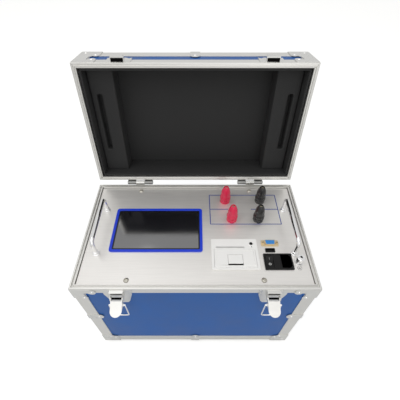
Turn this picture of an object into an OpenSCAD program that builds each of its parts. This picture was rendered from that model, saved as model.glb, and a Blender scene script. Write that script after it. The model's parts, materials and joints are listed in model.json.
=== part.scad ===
// Transformer resistance tester built into an aluminium-trimmed flight case.
// Frame: origin on the floor under the middle of the case, X right, Y back, Z up, millimetres.

/* [Case] */
// Width of the case over its trims
case_w = 400; // [390:5:460]
// Depth of the case, front to back
case_d = 230; // [220:5:270]
// Height of the base without its feet
base_h = 260; // [240:5:320]
// Height of the lid
lid_h = 68; // [66:1:84]
// Angle that the lid stands open
lid_open = 98; // [92:1:104]
// Thickness of the laminated boards
board_t = 5; // [4.5:0.5:6]
// Thickness of the aluminium trims
trim_t = 1.2; // [1:0.1:1.5]
// Width of the edge trims
edge_trim_w = 24; // [22:1:27]
// Width of the upright corner trims
corner_trim_w = 21; // [18:1:24]
// Height of the rubber feet under the case
foot_h = 8; // [6:1:14]
// Diameter of the rubber feet
foot_d = 28; // [20:1:34]

/* [Panel] */
// Depth of the panel's face below the rim
panel_recess = 3; // [2:0.5:5]
// Thickness of the control panel
panel_t = 2.5; // [2:0.5:4]
// Gap between the screen's frame and the printer
screen_gap = 14.8; // [12:0.2:30]
// Depth of the screen's frame
screen_d = 97.5; // [86:1:104]
// Width of the printer's bezel
printer_w = 81; // [78:1:84]
// Depth of the printer's bezel
printer_d = 60.5; // [58:0.5:63]
// Width of the mains inlet
inlet_w = 48.5; // [47:0.5:50]
// Depth of the mains inlet
inlet_d = 30.7; // [30:0.5:33]
// Spacing of a panel handle's feet
handle_span = 97.5; // [90:0.5:106]
// Height of the panel handles
handle_h = 38; // [34:1:42]
// Diameter of the panel handles' rod
handle_rod_d = 7; // [6:0.5:9]
// Height of a terminal over the panel
terminal_h = 40; // [38:1:44]
// Diameter of a terminal
terminal_d = 20.5; // [18:0.5:21]

/* [Hardware] */
// Distance of each latch from the end of the case
latch_inset = 74.5; // [70:0.5:85]
// Angle that a loose latch lever hangs out from the case
latch_tilt = 58; // [45:1:62]
// Distance of each hinge from the end of the case
hinge_inset = 84; // [75:1:100]
// Width of a hinge
hinge_w = 52; // [44:1:60]
// Arm length of the corner brackets
bracket_arm = 34; // [30:1:38]
// Height of the side handles' plates over the floor
side_handle_z = 172; // [150:1:185]

/* [Hidden] */
$fn = 48;

// Clearances and overruns
cut = 1;
seat_gap = 0.3;
run_gap = 0.05;
mitre_gap = 0.1;
parting_gap = 0.4;

// Rim profile
rim_inner_t = 1;
rim_w = trim_t + board_t + rim_inner_t;
rim_cap_h = 6;
rim_inner_leg = 14;
base_rim_leg = 16;
lid_rim_leg = 22;
nose_out = 0.8;
nose_h = 3;
groove_w = 3;
groove_h = 3;
tongue_w = 2;
tongue_h = 2.2;
groove_u = trim_t + board_t / 2 - groove_w / 2;
mitre_reach = 30;

// Heights and half sizes
latch_x = case_w / 2 - latch_inset;
hinge_x = case_w / 2 - hinge_inset;
z_rim = foot_h + base_h;
board_x = case_w / 2 - trim_t;
board_y = case_d / 2 - trim_t;
inner_x = board_x - board_t;
inner_y = board_y - board_t;
panel_gap = 0.8;
panel_x = case_w / 2 - rim_w - panel_gap;
panel_y = case_d / 2 - rim_w - panel_gap;
panel_z = z_rim - panel_recess;

// Lid hinge line
pivot_out = 7;
pivot_y = case_d / 2 + pivot_out;
pivot_z = z_rim + parting_gap / 2;
lid_z = z_rim + parting_gap;

// Plain parts used by several pieces

// A straight length with mitred ends: the profile's first axis runs inward, its second up
module mitred_bar(bar_len) {
    half = bar_len / 2;
    intersection() {
        rotate([90, 0, 90]) translate([0, 0, -half - mitre_reach]) linear_extrude(bar_len + 2 * mitre_reach) children();
        translate([0, 0, -3 * mitre_reach])
            linear_extrude(6 * mitre_reach)
                polygon([
                    [-half - mitre_reach + mitre_gap, -mitre_reach],
                    [half + mitre_reach - mitre_gap, -mitre_reach],
                    [half - mitre_reach - mitre_gap, mitre_reach],
                    [-half + mitre_reach + mitre_gap, mitre_reach]]);
    }
}

// Four mitred lengths round the case
module mitred_ring() {
    for (turn = [0, 180]) {
        rotate([0, 0, turn]) translate([0, -case_d / 2, 0]) mitred_bar(case_w) children();
        rotate([0, 0, turn + 90]) translate([0, -case_w / 2, 0]) mitred_bar(case_d) children();
    }
}

// The same corner piece at the four upright edges, drawn with its inside towards +X and +Y
module at_corners() {
    for (mx = [0, 1], my = [0, 1])
        mirror([mx, 0, 0]) mirror([0, my, 0]) translate([-case_w / 2, -case_d / 2, 0]) children();
}

// The same piece at the middle of the four sides, drawn with its inside towards +Y
module at_sides() {
    for (turn = [0, 180]) {
        rotate([0, 0, turn]) translate([0, -case_d / 2, 0]) children();
        rotate([0, 0, turn + 90]) translate([0, -case_w / 2, 0]) children();
    }
}

// The lid is drawn closed and turned open about the hinge line
module on_open_lid() {
    translate([0, pivot_y, pivot_z]) rotate([-lid_open, 0, 0]) translate([0, -pivot_y, -pivot_z]) children();
}

// A block from one corner to the opposite one
module span(low, high) {
    translate(low) cube(high - low);
}

// A block with upright corners of one radius, standing on z = 0
module round_block(width, depth, height, radius) {
    linear_extrude(height) round_rect(width, depth, radius);
}

module round_rect(width, depth, radius) {
    square([width - 2 * radius, depth], center = true);
    square([width, depth - 2 * radius], center = true);
    for (sx = [-1, 1], sy = [-1, 1])
        translate([sx * (width / 2 - radius), sy * (depth / 2 - radius)]) circle(radius);
}

// Base shell

module base_wall_boards() {
    low = foot_h + trim_t;
    high = z_rim - rim_cap_h;
    color([0.23, 0.39, 0.63]) for (side = [-1, 1]) {
        translate([-board_x, side * (board_y - board_t / 2) - board_t / 2, low]) cube([2 * board_x, board_t, high - low]);
        translate([side * (board_x - board_t / 2) - board_t / 2, -inner_y + mitre_gap, low])
            cube([board_t, 2 * (inner_y - mitre_gap), high - low]);
    }
}

module base_floor_board() {
    color([0.23, 0.39, 0.63]) translate([-inner_x + mitre_gap, -inner_y + mitre_gap, foot_h + trim_t])
        cube([2 * (inner_x - mitre_gap), 2 * (inner_y - mitre_gap), board_t]);
}

// Rim section: outer leg, cap, inner leg and a rolled nose
module rim_section(outer_leg) {
    translate([0, -outer_leg]) square([trim_t, outer_leg]);
    translate([0, -rim_cap_h]) square([rim_w, rim_cap_h]);
    translate([rim_w - rim_inner_t, -rim_inner_leg]) square([rim_inner_t, rim_inner_leg]);
    translate([-nose_out, -nose_h]) square([nose_out + trim_t, nose_h - nose_out]);
    translate([0, -nose_out]) circle(nose_out);
}

module base_rim_frame() {
    color([0.8, 0.8, 0.8]) translate([0, 0, z_rim]) mitred_ring() difference() {
        rim_section(base_rim_leg);
        translate([groove_u, -groove_h]) square([groove_w, groove_h + cut]);
    }
}

module angle_section(leg_up, leg_in) {
    square([trim_t, leg_up]);
    square([leg_in, trim_t]);
}

module corner_trim(height) {
    linear_extrude(height) angle_section(corner_trim_w, corner_trim_w);
}

module base_edge_trims() {
    upright = base_h - edge_trim_w - base_rim_leg;
    color([0.82, 0.82, 0.81]) {
        translate([0, 0, foot_h]) mitred_ring() angle_section(edge_trim_w, edge_trim_w);
        at_corners() translate([0, 0, foot_h + edge_trim_w + mitre_gap]) corner_trim(upright - 2 * mitre_gap);
    }
}

// Brackets: pressed plates with round lobes that reach past the trim
bracket_t = 1.2;
lobe_r = 7;
lobe_out = 4;
brace_w = 18;
brace_out = 8;
rivet_r = 3;
rivet_h = 1.5;
rim_bracket_arm = 40;

// Centre of a lobe, measured along its arm and in from the edge
function lobe_at(arm, trim_w) = [arm - lobe_r, trim_w - lobe_r + lobe_out];

module bracket_face(arm_a, arm_b, width_a, width_b) {
    translate([-bracket_t, -bracket_t]) square([arm_a - lobe_r + bracket_t, width_a - bracket_t]);
    translate([-bracket_t, -bracket_t]) square([width_b - bracket_t, arm_b - lobe_r + bracket_t]);
    translate([arm_a - 2 * lobe_r, -bracket_t]) square([2 * lobe_r, width_a - lobe_r + lobe_out + bracket_t]);
    translate([-bracket_t, arm_b - 2 * lobe_r]) square([width_b - lobe_r + lobe_out + bracket_t, 2 * lobe_r]);
    translate(lobe_at(arm_a, width_a)) circle(lobe_r);
    translate([width_b - lobe_r + lobe_out, arm_b - lobe_r]) circle(lobe_r);
}

// Three-armed bracket on the low corner at the origin, inside towards +X, +Y, +Z
module corner_bracket(arm_up) {
    rotate([90, 0, 0]) linear_extrude(bracket_t) bracket_face(bracket_arm, arm_up, edge_trim_w, corner_trim_w);
    translate([-bracket_t, 0, 0]) rotate([90, 0, 90])
        linear_extrude(bracket_t) bracket_face(bracket_arm, arm_up, edge_trim_w, corner_trim_w);
    translate([0, 0, -bracket_t]) linear_extrude(bracket_t) bracket_face(bracket_arm, bracket_arm, edge_trim_w, edge_trim_w);
}

// Half a rim bracket: one face under the rim's nose, drawn in the plane of a wall with the rim at the top
module rim_bracket_face(leg, arm) {
    low = -leg - lobe_out;
    translate([-bracket_t, -leg]) square([arm + bracket_t - lobe_r, leg - nose_h - seat_gap]);
    translate([-bracket_t, -arm + lobe_r]) square([corner_trim_w, arm - lobe_r - nose_h - seat_gap]);
    translate([arm - lobe_r, low + lobe_r]) circle(lobe_r);
    translate([corner_trim_w - lobe_r + lobe_out / 2, -arm + lobe_r]) circle(lobe_r);
}

module rim_bracket(leg, arm) {
    rotate([90, 0, 0]) linear_extrude(bracket_t) rim_bracket_face(leg, arm);
    translate([-bracket_t, 0, 0]) rotate([90, 0, 90]) linear_extrude(bracket_t) rim_bracket_face(leg, arm);
}

// One face of a brace across an edge: a strip with a half-round end
module brace_face(trim_w) {
    translate([-brace_w / 2, -bracket_t]) square([brace_w, trim_w + brace_out - brace_w / 2 + bracket_t]);
    translate([0, trim_w + brace_out - brace_w / 2]) circle(brace_w / 2);
}

// Brace over a horizontal edge at the origin, along X, with the wall above it
module edge_brace(trim_w) {
    rotate([90, 0, 0]) linear_extrude(bracket_t) brace_face(trim_w);
    translate([0, 0, -bracket_t]) linear_extrude(bracket_t) brace_face(trim_w);
}

// Brace over an upright edge at the origin, with the walls towards +X and +Y
module upright_brace() {
    rotate([90, 0, 0]) linear_extrude(bracket_t) rotate([0, 0, -90]) brace_face(corner_trim_w);
    translate([-bracket_t, 0, 0]) rotate([90, 0, 90]) linear_extrude(bracket_t) rotate([0, 0, -90]) brace_face(corner_trim_w);
}

brace_z = foot_h + base_h * 0.5 + edge_trim_w / 2;

module base_brackets() {
    color([0.86, 0.86, 0.85]) {
        at_corners() {
            translate([0, 0, foot_h]) corner_bracket(bracket_arm);
            translate([0, 0, z_rim]) rim_bracket(base_rim_leg, rim_bracket_arm);
            translate([0, 0, brace_z]) upright_brace();
        }
        translate([0, 0, foot_h]) at_sides() edge_brace(edge_trim_w);
    }
}

// Domed rivet head standing on z = 0
module rivet_head() {
    dome_r = (rivet_r * rivet_r + rivet_h * rivet_h) / (2 * rivet_h);
    intersection() {
        translate([0, 0, rivet_h - dome_r]) sphere(dome_r);
        cylinder(h = rivet_h, r = rivet_r);
    }
}

// A rivet on a wall that faces -Y, at [x, z]
module wall_rivet(at) {
    translate([at[0], -bracket_t, at[1]]) rotate([90, 0, 0]) rivet_head();
}

// The same on both walls of a corner
module corner_rivets(places) {
    for (at = places) {
        wall_rivet(at);
        mirror([1, -1, 0]) wall_rivet(at);
    }
}

function corner_rivet_places(arm_up) = [
    lobe_at(bracket_arm, edge_trim_w),
    [corner_trim_w - lobe_r + lobe_out, arm_up - lobe_r],
    [lobe_r + rivet_r / 2, lobe_r + rivet_r / 2]];

function rim_rivet_places(leg, arm) = [
    [arm - lobe_r, -leg - lobe_out + lobe_r],
    [corner_trim_w - lobe_r + lobe_out / 2, -arm + lobe_r]];

module base_rivets() {
    color([0.9, 0.9, 0.9]) {
        at_corners() {
            translate([0, 0, foot_h]) corner_rivets(corner_rivet_places(bracket_arm));
            translate([0, 0, z_rim]) corner_rivets(rim_rivet_places(base_rim_leg, rim_bracket_arm));
            translate([0, 0, brace_z]) corner_rivets([[corner_trim_w + brace_out - brace_w / 2, 0]]);
        }
        translate([0, 0, foot_h]) at_sides() wall_rivet([0, edge_trim_w + brace_out - brace_w / 2]);
    }
}

foot_inset = edge_trim_w + bracket_arm / 2;
foot_taper = 2;
foot_bore_r = 5;
foot_bore_h = 4;

module rubber_feet() {
    color([0.1, 0.1, 0.1]) at_corners() translate([foot_inset, foot_inset, 0]) rotate_extrude()
        polygon([
            [foot_bore_r, 0], [foot_d / 2 - foot_taper, 0], [foot_d / 2, foot_h + trim_t],
            [0, foot_h + trim_t], [0, foot_bore_h], [foot_bore_r, foot_bore_h]]);
}

// Control panel and what it carries

rail_t = 1.6;
rail_flange = 15;
rail_h = 16;
rail_end = 3;
screw_r = 2;
screw_hole_r = 2.3;
screw_head_r = 4.7;
screw_head_h = 3;
screw_tail = 3;
screw_side = 80;
screw_x = panel_x - screw_side;
screw_inset = 7.5;

module at_screws() {
    for (sx = [-1, 1], sy = [-1, 1]) translate([sx * screw_x, sy * (panel_y - screw_inset), panel_z]) children();
}

module panel_rails() {
    under = -panel_t;
    color([0.6, 0.6, 0.62]) difference() {
        for (side = [0, 180]) rotate([0, 0, side]) translate([0, 0, panel_z]) {
            span([-inner_x + rail_end, -inner_y + rim_inner_t + seat_gap, under - rail_t],
                [inner_x - rail_end, -inner_y + rim_inner_t + rail_flange, under]);
            span([-inner_x + rail_end, -inner_y + rim_inner_t + seat_gap, under - rail_h],
                [inner_x - rail_end, -inner_y + rim_inner_t + seat_gap + rail_t, under]);
        }
        at_screws() translate([0, 0, -panel_t - rail_t - cut]) cylinder(h = rail_t + 2 * cut, r = screw_r + run_gap);
    }
}

// Places on the panel, from its edges
screen_left = 40.5;
screen_shift = 1.8;
screen_border = 5;
screen_rise = 2;
screen_window = 1.5;
glass_t = 1.6;
printer_right = 83;
screen_w = 2 * panel_x - screen_left - screen_gap - printer_w - printer_right;
screen_cx = -panel_x + screen_left + screen_w / 2;
printer_front = 25.5;
printer_cx = panel_x - printer_right - printer_w / 2;
printer_cy = -panel_y + printer_front + printer_d / 2;
inlet_right = 26.5;
inlet_front = 25.7;
inlet_cx = panel_x - inlet_right - inlet_w / 2;
inlet_cy = -panel_y + inlet_front + inlet_d / 2;
serial_w = 30.8;
serial_d = 12.5;
serial_gap = 15.3;
serial_cx = inlet_cx - inlet_w / 2 + serial_w / 2;
serial_cy = inlet_cy + inlet_d / 2 + serial_gap + serial_d / 2;
usb_w = 17;
usb_d = 8;
usb_gap = 3.2;
usb_shift = 1.4;
usb_cx = serial_cx - usb_shift;
usb_cy = inlet_cy + inlet_d / 2 + usb_gap + usb_d / 2;
handle_inset = 20.5;
handle_x = panel_x - handle_inset;
handle_cy = -1;
terminal_right = 97.5;
terminal_back = 35;
terminal_pitch = 47;
terminal_cx = panel_x - terminal_right;
terminal_wide = 34.8;
terminal_near = 25;
ground_right = 17;
ground_lead = 18;
// Left and right terminals of the back row, then of the front row
terminal_places = [
    [terminal_cx - terminal_wide, panel_y - terminal_back],
    [terminal_cx - terminal_near, panel_y - terminal_back - terminal_pitch],
    [terminal_cx + terminal_wide, panel_y - terminal_back],
    [terminal_cx + terminal_near, panel_y - terminal_back - terminal_pitch]];
ground_at = [panel_x - ground_right, handle_cy - handle_span / 2 - ground_lead];

stud_r = 3;
stud_tail = 9;
housing_play = 0.4;
inlet_body_share = 0.94;
ground_stud_r = 3;

module control_panel() {
    color([0.8, 0.79, 0.78]) difference() {
        translate([-panel_x, -panel_y, panel_z - panel_t]) cube([2 * panel_x, 2 * panel_y, panel_t]);
        translate([0, 0, panel_z - panel_t - cut]) {
            translate([screen_cx, screen_shift, 0])
                round_block(screen_w - 2 * screen_window, screen_d - 2 * screen_window, panel_t + 2 * cut, screen_border / 2);
            translate([printer_cx, printer_cy, 0]) cube_on(printer_body_w + 2 * housing_play,
                printer_body_d + 2 * housing_play, panel_t + 2 * cut);
            translate([inlet_cx, inlet_cy, 0]) cube_on(inlet_w * inlet_body_share + 2 * housing_play,
                inlet_d * inlet_body_share + 2 * housing_play, panel_t + 2 * cut);
            translate([serial_cx, serial_cy, 0]) cube_on(serial_shell_w + 2 * housing_play,
                serial_shell_d + 2 * housing_play, panel_t + 2 * cut);
            translate([usb_cx, usb_cy, 0]) cube_on(usb_w - 2 * usb_lip + 2 * housing_play,
                usb_d - 2 * usb_lip + 2 * housing_play, panel_t + 2 * cut);
            for (at = terminal_places) translate([at[0], at[1], 0]) cylinder(h = panel_t + 2 * cut, r = stud_r + housing_play);
            translate([ground_at[0], ground_at[1], 0]) cylinder(h = panel_t + 2 * cut, r = ground_stud_r + housing_play);
            at_screw_holes();
        }
    }
}

module at_screw_holes() {
    for (sx = [-1, 1], sy = [-1, 1]) translate([sx * screw_x, sy * (panel_y - screw_inset), 0])
        cylinder(h = panel_t + 2 * cut, r = screw_hole_r);
}

// A block centred in X and Y, standing on z = 0
module cube_on(width, depth, height) {
    translate([-width / 2, -depth / 2, 0]) cube([width, depth, height]);
}

module panel_screws() {
    dome_r = (screw_head_r * screw_head_r + screw_head_h * screw_head_h) / (2 * screw_head_h);
    slot_w = 1.2;
    slot_deep = 1.4;
    color([0.85, 0.85, 0.85]) at_screws() difference() {
        union() {
            intersection() {
                translate([0, 0, screw_head_h - dome_r]) sphere(dome_r);
                cylinder(h = screw_head_h, r = screw_head_r);
            }
            translate([0, 0, -panel_t - rail_t - screw_tail])
                cylinder(h = panel_t + rail_t + screw_tail + screw_head_h / 2, r = screw_r);
        }
        for (turn = [0, 90]) rotate([0, 0, turn])
            translate([0, 0, screw_head_h - slot_deep]) cube_on(slot_w, screw_head_r, screw_head_h);
    }
}

module screen_frame() {
    color([0.04, 0.2, 0.85]) translate([screen_cx, screen_shift, panel_z]) difference() {
        round_block(screen_w, screen_d, screen_rise, screen_border);
        translate([0, 0, -cut]) round_block(screen_w - 2 * screen_border, screen_d - 2 * screen_border,
            screen_rise + 2 * cut, screen_border / 2);
    }
}

module touch_screen() {
    top = panel_z + screen_rise / 2;
    color([0.03, 0.03, 0.03]) translate([screen_cx, screen_shift, top - glass_t])
        round_block(screen_w - 2 * screen_border - 2 * seat_gap, screen_d - 2 * screen_border - 2 * seat_gap,
            glass_t, screen_border / 2 - seat_gap);
}

module display_module() {
    top = panel_z + screen_rise / 2 - glass_t;
    module_h = 14;
    stand_h = 7;
    stand_w = 9;
    board_h = 1.6;
    mod_w = screen_w - 2 * screen_border - 4 * seat_gap;
    mod_d = screen_d - 2 * screen_border - 4 * seat_gap;
    color([0.2, 0.22, 0.2]) translate([screen_cx, screen_shift, top]) {
        translate([0, 0, -module_h]) cube_on(mod_w, mod_d, module_h);
        translate([0, 0, -module_h - stand_h - board_h]) cube_on(mod_w - 2 * stand_w, mod_d - 2 * stand_w, board_h);
        for (sx = [-1, 1], sy = [-1, 1])
            translate([sx * (mod_w / 2 - 2 * stand_w), sy * (mod_d / 2 - 2 * stand_w), -module_h - stand_h - cut / 2])
                cylinder(h = stand_h + cut, r = stand_w / 2);
    }
}

// Printer: bezel, open bay for the roll, paper slot, hinged door with its latch
bezel_h = 2.6;
printer_body_h = 38;
printer_wall = 2;
printer_body_w = 73;
printer_body_d = 53;
door_w = 71;
door_d = 36;
door_t = 2.2;
door_gap = 0.35;
door_front = 3.6;
door_front_y = printer_cy - printer_d / 2 + door_front;
door_pivot_y = door_front_y + door_t / 2;
door_pivot_z = panel_z + bezel_h - door_t / 2;
slot_x = 8.4;
slot_w = 50;
slot_d = 1.8;
slot_back = 16;
button_right = 10.5;
button_back = 10.2;
button_r = 2.6;
button_ring = 0.7;
button_travel = 0.8;
button_h = 4.4;
roll_len = 57;
roll_r = 15;
core_r = 6;
core_boss = 3;
roll_y = door_front_y + roll_r + 1.6 * door_t;
roll_z = panel_z - roll_r - 1.6 * door_t;

module printer_housing() {
    bay_w = roll_len + 3 * door_t;
    bay_front = printer_cy - printer_body_d / 2 + printer_wall;
    bay_back = printer_cy + printer_d / 2 - slot_back + slot_d;
    mouth_back = door_front_y + door_d - printer_wall;
    color([0.93, 0.93, 0.9]) {
        difference() {
            union() {
                translate([printer_cx, printer_cy, panel_z]) round_block(printer_w, printer_d, bezel_h, printer_wall);
                translate([printer_cx, printer_cy, panel_z - printer_body_h])
                    cube_on(printer_body_w, printer_body_d, printer_body_h + cut);
            }
            translate([printer_cx, door_front_y - door_gap + (door_d + 2 * door_gap) / 2, panel_z + bezel_h - door_t - door_gap])
                cube_on(door_w + 2 * door_gap, door_d + 2 * door_gap, door_t + door_gap + cut);
            span([printer_cx - bay_w / 2, bay_front, panel_z - printer_body_h + printer_wall],
                [printer_cx + bay_w / 2, bay_back, panel_z]);
            span([printer_cx - bay_w / 2, bay_front, panel_z - cut],
                [printer_cx + bay_w / 2, mouth_back, panel_z + bezel_h + cut]);
            span([printer_cx - printer_w / 2 + slot_x, printer_cy + printer_d / 2 - slot_back - slot_d, panel_z - 2 * slot_d],
                [printer_cx - printer_w / 2 + slot_x + slot_w, printer_cy + printer_d / 2 - slot_back, panel_z + bezel_h + cut]);
            translate([button_x, button_y, panel_z - button_h])
                cylinder(h = button_h + bezel_h + cut, r = button_r + housing_play);
        }
        for (side = [-1, 1])
            translate([printer_cx + side * (bay_w / 2 + cut), roll_y, roll_z]) rotate([0, -90 * side, 0])
                cylinder(h = (bay_w - roll_len) / 2 + core_boss + cut, r = core_r - run_gap);
        translate([button_x, button_y, panel_z + bezel_h - cut]) difference() {
            cylinder(h = cut + button_ring, r = button_r + housing_play + button_ring);
            translate([0, 0, -cut]) cylinder(h = 4 * cut, r = button_r + housing_play);
        }
        for (side = [-1, 1]) translate([printer_cx + side * (door_w / 2 + door_gap + cut), door_pivot_y, door_pivot_z])
            rotate([0, -90 * side, 0]) cylinder(h = 2 * cut + door_gap, r = door_pin_r);
    }
}

button_x = printer_cx + printer_w / 2 - button_right;
button_y = printer_cy + printer_d / 2 - button_back;
door_pin_r = 0.7;

tab_w = 25;
tab_d = 17.6;
tab_front = 7.4;
tab_x = -12.4;
tab_t = 1.4;
tab_gap = 0.35;
tab_y = door_front_y + tab_front;
latch_pivot_y = tab_y + tab_d - tab_t / 2;
latch_pivot_z = panel_z + bezel_h - tab_t / 2;
latch_pin_r = 0.45;
finger_cut = 3;

module printer_door() {
    top = panel_z + bezel_h;
    line_w = 0.8;
    line_h = 0.5;
    margin = 3.4;
    color([0.94, 0.94, 0.91]) difference() {
        union() {
            span([printer_cx - door_w / 2, door_pivot_y, top - door_t], [printer_cx + door_w / 2, door_front_y + door_d, top]);
            translate([printer_cx - door_w / 2, door_pivot_y, door_pivot_z]) rotate([0, 90, 0])
                cylinder(h = door_w, r = door_t / 2);
        }
        for (side = [-1, 1]) translate([printer_cx + side * (door_w / 2 + cut), door_pivot_y, door_pivot_z])
            rotate([0, -90 * side, 0]) cylinder(h = 2 * cut + door_gap, r = door_pin_r + run_gap);
        translate([printer_cx, door_front_y + door_d / 2, top - line_h]) difference() {
            cube_on(door_w - 2 * margin, door_d - 2 * margin, line_h + cut);
            translate([0, 0, -cut]) cube_on(door_w - 2 * margin - 2 * line_w, door_d - 2 * margin - 2 * line_w, line_h + 3 * cut);
        }
        span([printer_cx + tab_x - tab_gap, tab_y - finger_cut, top - door_t - cut],
            [printer_cx + tab_x + tab_w + tab_gap, tab_y + tab_d + tab_gap, top + cut]);
    }
    color([0.94, 0.94, 0.91]) for (side = [0, 1])
        translate([printer_cx + tab_x + side * tab_w + (side * 2 - 1) * 1.5 * tab_gap, latch_pivot_y, latch_pivot_z])
            rotate([0, 90 - 180 * side, 0]) cylinder(h = tab_gap + cut, r = latch_pin_r);
}

module printer_latch() {
    top = panel_z + bezel_h;
    color([0.92, 0.92, 0.89]) difference() {
        union() {
            span([printer_cx + tab_x, tab_y, top - tab_t], [printer_cx + tab_x + tab_w, latch_pivot_y, top]);
            translate([printer_cx + tab_x, latch_pivot_y, latch_pivot_z]) rotate([0, 90, 0]) cylinder(h = tab_w, r = tab_t / 2);
        }
        for (side = [0, 1])
            translate([printer_cx + tab_x + side * tab_w + (side * 2 - 1) * 2 * tab_gap, latch_pivot_y, latch_pivot_z])
                rotate([0, 90 - 180 * side, 0]) cylinder(h = 2 * tab_gap + 1.2 * cut, r = latch_pin_r + run_gap);
    }
}

module feed_button() {
    stem_r = button_r / 2;
    color([0.06, 0.06, 0.06]) translate([button_x, button_y, panel_z + bezel_h + button_travel + button_ring]) {
        translate([0, 0, -button_h]) cylinder(h = button_h - button_ring, r = button_r);
        translate([0, 0, -button_ring - cut / 4]) cylinder(h = button_ring + cut / 4, r = button_r - button_ring / 2);
        translate([0, 0, -button_h - button_ring]) cylinder(h = button_h, r = stem_r);
    }
}

module paper_roll() {
    color([0.97, 0.97, 0.95]) translate([printer_cx - roll_len / 2, roll_y, roll_z]) rotate([0, 90, 0]) difference() {
        cylinder(h = roll_len, r = roll_r);
        translate([0, 0, -cut]) cylinder(h = roll_len + 2 * cut, r = core_r);
    }
}

// Mains inlet with its rocker switch
inlet_flange = 2;
inlet_body_h = 27;
inlet_r = 1.5;
rocker_w = 12.6;
rocker_d = 21;
rocker_left = 9.2;
rocker_r = 26;
rocker_tilt = 7;
rocker_gap = 0.4;
rocker_pin_r = 1;
rocker_x = inlet_cx - inlet_w / 2 + rocker_left;
rocker_z = panel_z + inlet_flange - 1.5;
socket_w = 17;
socket_d = 24.6;
socket_right = 11.2;
socket_deep = 17;
socket_chamfer = 4;
socket_x = inlet_cx + inlet_w / 2 - socket_right;
prong_w = 2;
prong_d = 4;
prong_h = 15.5;
prong_spread = 7;
prong_side = 2;

module socket_outline(grow) {
    half_w = socket_w / 2 + grow;
    half_d = socket_d / 2 + grow;
    polygon([
        [-half_w, -half_d], [half_w - socket_chamfer, -half_d], [half_w, -half_d + socket_chamfer],
        [half_w, half_d - socket_chamfer], [half_w - socket_chamfer, half_d], [-half_w, half_d]]);
}

module inlet_housing() {
    rocker_well = 11;
    lip = 1.2;
    color([0.06, 0.06, 0.06]) {
        difference() {
            union() {
                translate([inlet_cx, inlet_cy, panel_z]) round_block(inlet_w, inlet_d, inlet_flange, inlet_r);
                translate([inlet_cx, inlet_cy, panel_z - inlet_body_h])
                    cube_on(inlet_w * inlet_body_share, inlet_d * inlet_body_share, inlet_body_h + cut / 2);
                translate([socket_x, inlet_cy, panel_z]) linear_extrude(inlet_flange + lip / 2) socket_outline(lip);
            }
            translate([rocker_x, inlet_cy, panel_z - rocker_well])
                cube_on(rocker_w + 2 * rocker_gap, rocker_d + 2 * rocker_gap, rocker_well + inlet_flange + cut);
            translate([socket_x, inlet_cy, panel_z + inlet_flange - socket_deep])
                linear_extrude(socket_deep + 2 * cut) socket_outline(0);
        }
        for (side = [-1, 1]) translate([rocker_x + side * (rocker_w / 2 + rocker_gap + cut), inlet_cy, rocker_z - rocker_drop])
            rotate([0, -90 * side, 0]) cylinder(h = 2 * cut + rocker_gap, r = rocker_pin_r);
    }
}

rocker_drop = 3;

module inlet_pins() {
    floor_z = panel_z + inlet_flange - socket_deep;
    color([0.85, 0.75, 0.5]) for (at = [[-prong_side, prong_spread], [-prong_side, -prong_spread], [prong_side, 0]])
        translate([socket_x + at[0], inlet_cy + at[1], floor_z]) cube_on(prong_w, prong_d, prong_h);
}

// Rocker drawn level about its pivot, then set in its off position
module power_rocker() {
    half_d = rocker_d / 2;
    face_h = 4.2;
    dish = 1.1;
    keel = 6;
    color([0.05, 0.05, 0.05]) translate([rocker_x, inlet_cy, rocker_z - rocker_drop]) rotate([rocker_tilt, 0, 0]) difference() {
        translate([-rocker_w / 2, 0, 0]) rotate([90, 0, 90]) linear_extrude(rocker_w) polygon([
            [-half_d + rocker_gap, 0], [-half_d + rocker_gap, face_h + dish], [0, face_h - dish],
            [half_d - rocker_gap, face_h + dish], [half_d - rocker_gap, 0], [keel, -keel / 2], [-keel, -keel / 2]]);
        for (side = [-1, 1]) translate([side * (rocker_w / 2 + cut), 0, 0])
            rotate([0, -90 * side, 0]) cylinder(h = 2 * cut + rocker_gap, r = rocker_pin_r + run_gap);
    }
}

// Serial and USB connectors
serial_shell_w = 18;
serial_shell_d = 9.6;
serial_flange = 1;
serial_rise = 5;
serial_wall = 0.6;
serial_body_h = 9;
jack_spread = 12.5;
jack_r = 2.6;
jack_h = 4;
jack_bore_r = 1.4;
pin_hole_r = 0.6;
pin_pitch = 2.77;
usb_lip = 1.2;
usb_rise = 1.4;
usb_body_h = 14;
usb_wall = 1.6;

// Slanted-end outline of the connector's collar
module serial_outline(shrink) {
    half_w = serial_shell_w / 2 - shrink;
    half_d = serial_shell_d / 2 - shrink;
    slope = serial_shell_d / 8;
    polygon([[-half_w + slope, -half_d], [half_w - slope, -half_d], [half_w, half_d], [-half_w, half_d]]);
}

module serial_connector_shell() {
    color([0.8, 0.7, 0.5]) translate([serial_cx, serial_cy, panel_z]) {
        difference() {
            union() {
                round_block(serial_w, serial_d, serial_flange, 1.5 * serial_flange);
                linear_extrude(serial_rise) serial_outline(0);
                translate([0, 0, -serial_body_h]) cube_on(serial_shell_w, serial_shell_d, serial_body_h + serial_flange / 2);
            }
            translate([0, 0, -serial_body_h + serial_wall]) linear_extrude(serial_body_h + 2 * serial_rise) serial_outline(serial_wall);
            for (side = [-1, 1]) translate([side * jack_spread, 0, -cut]) cylinder(h = jack_h + 2 * cut, r = jack_bore_r);
        }
        for (side = [-1, 1]) translate([side * jack_spread, 0, 0]) difference() {
            cylinder(h = jack_h, r = jack_r, $fn = 6);
            translate([0, 0, -cut]) cylinder(h = jack_h + 2 * cut, r = jack_bore_r);
        }
    }
}

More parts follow.
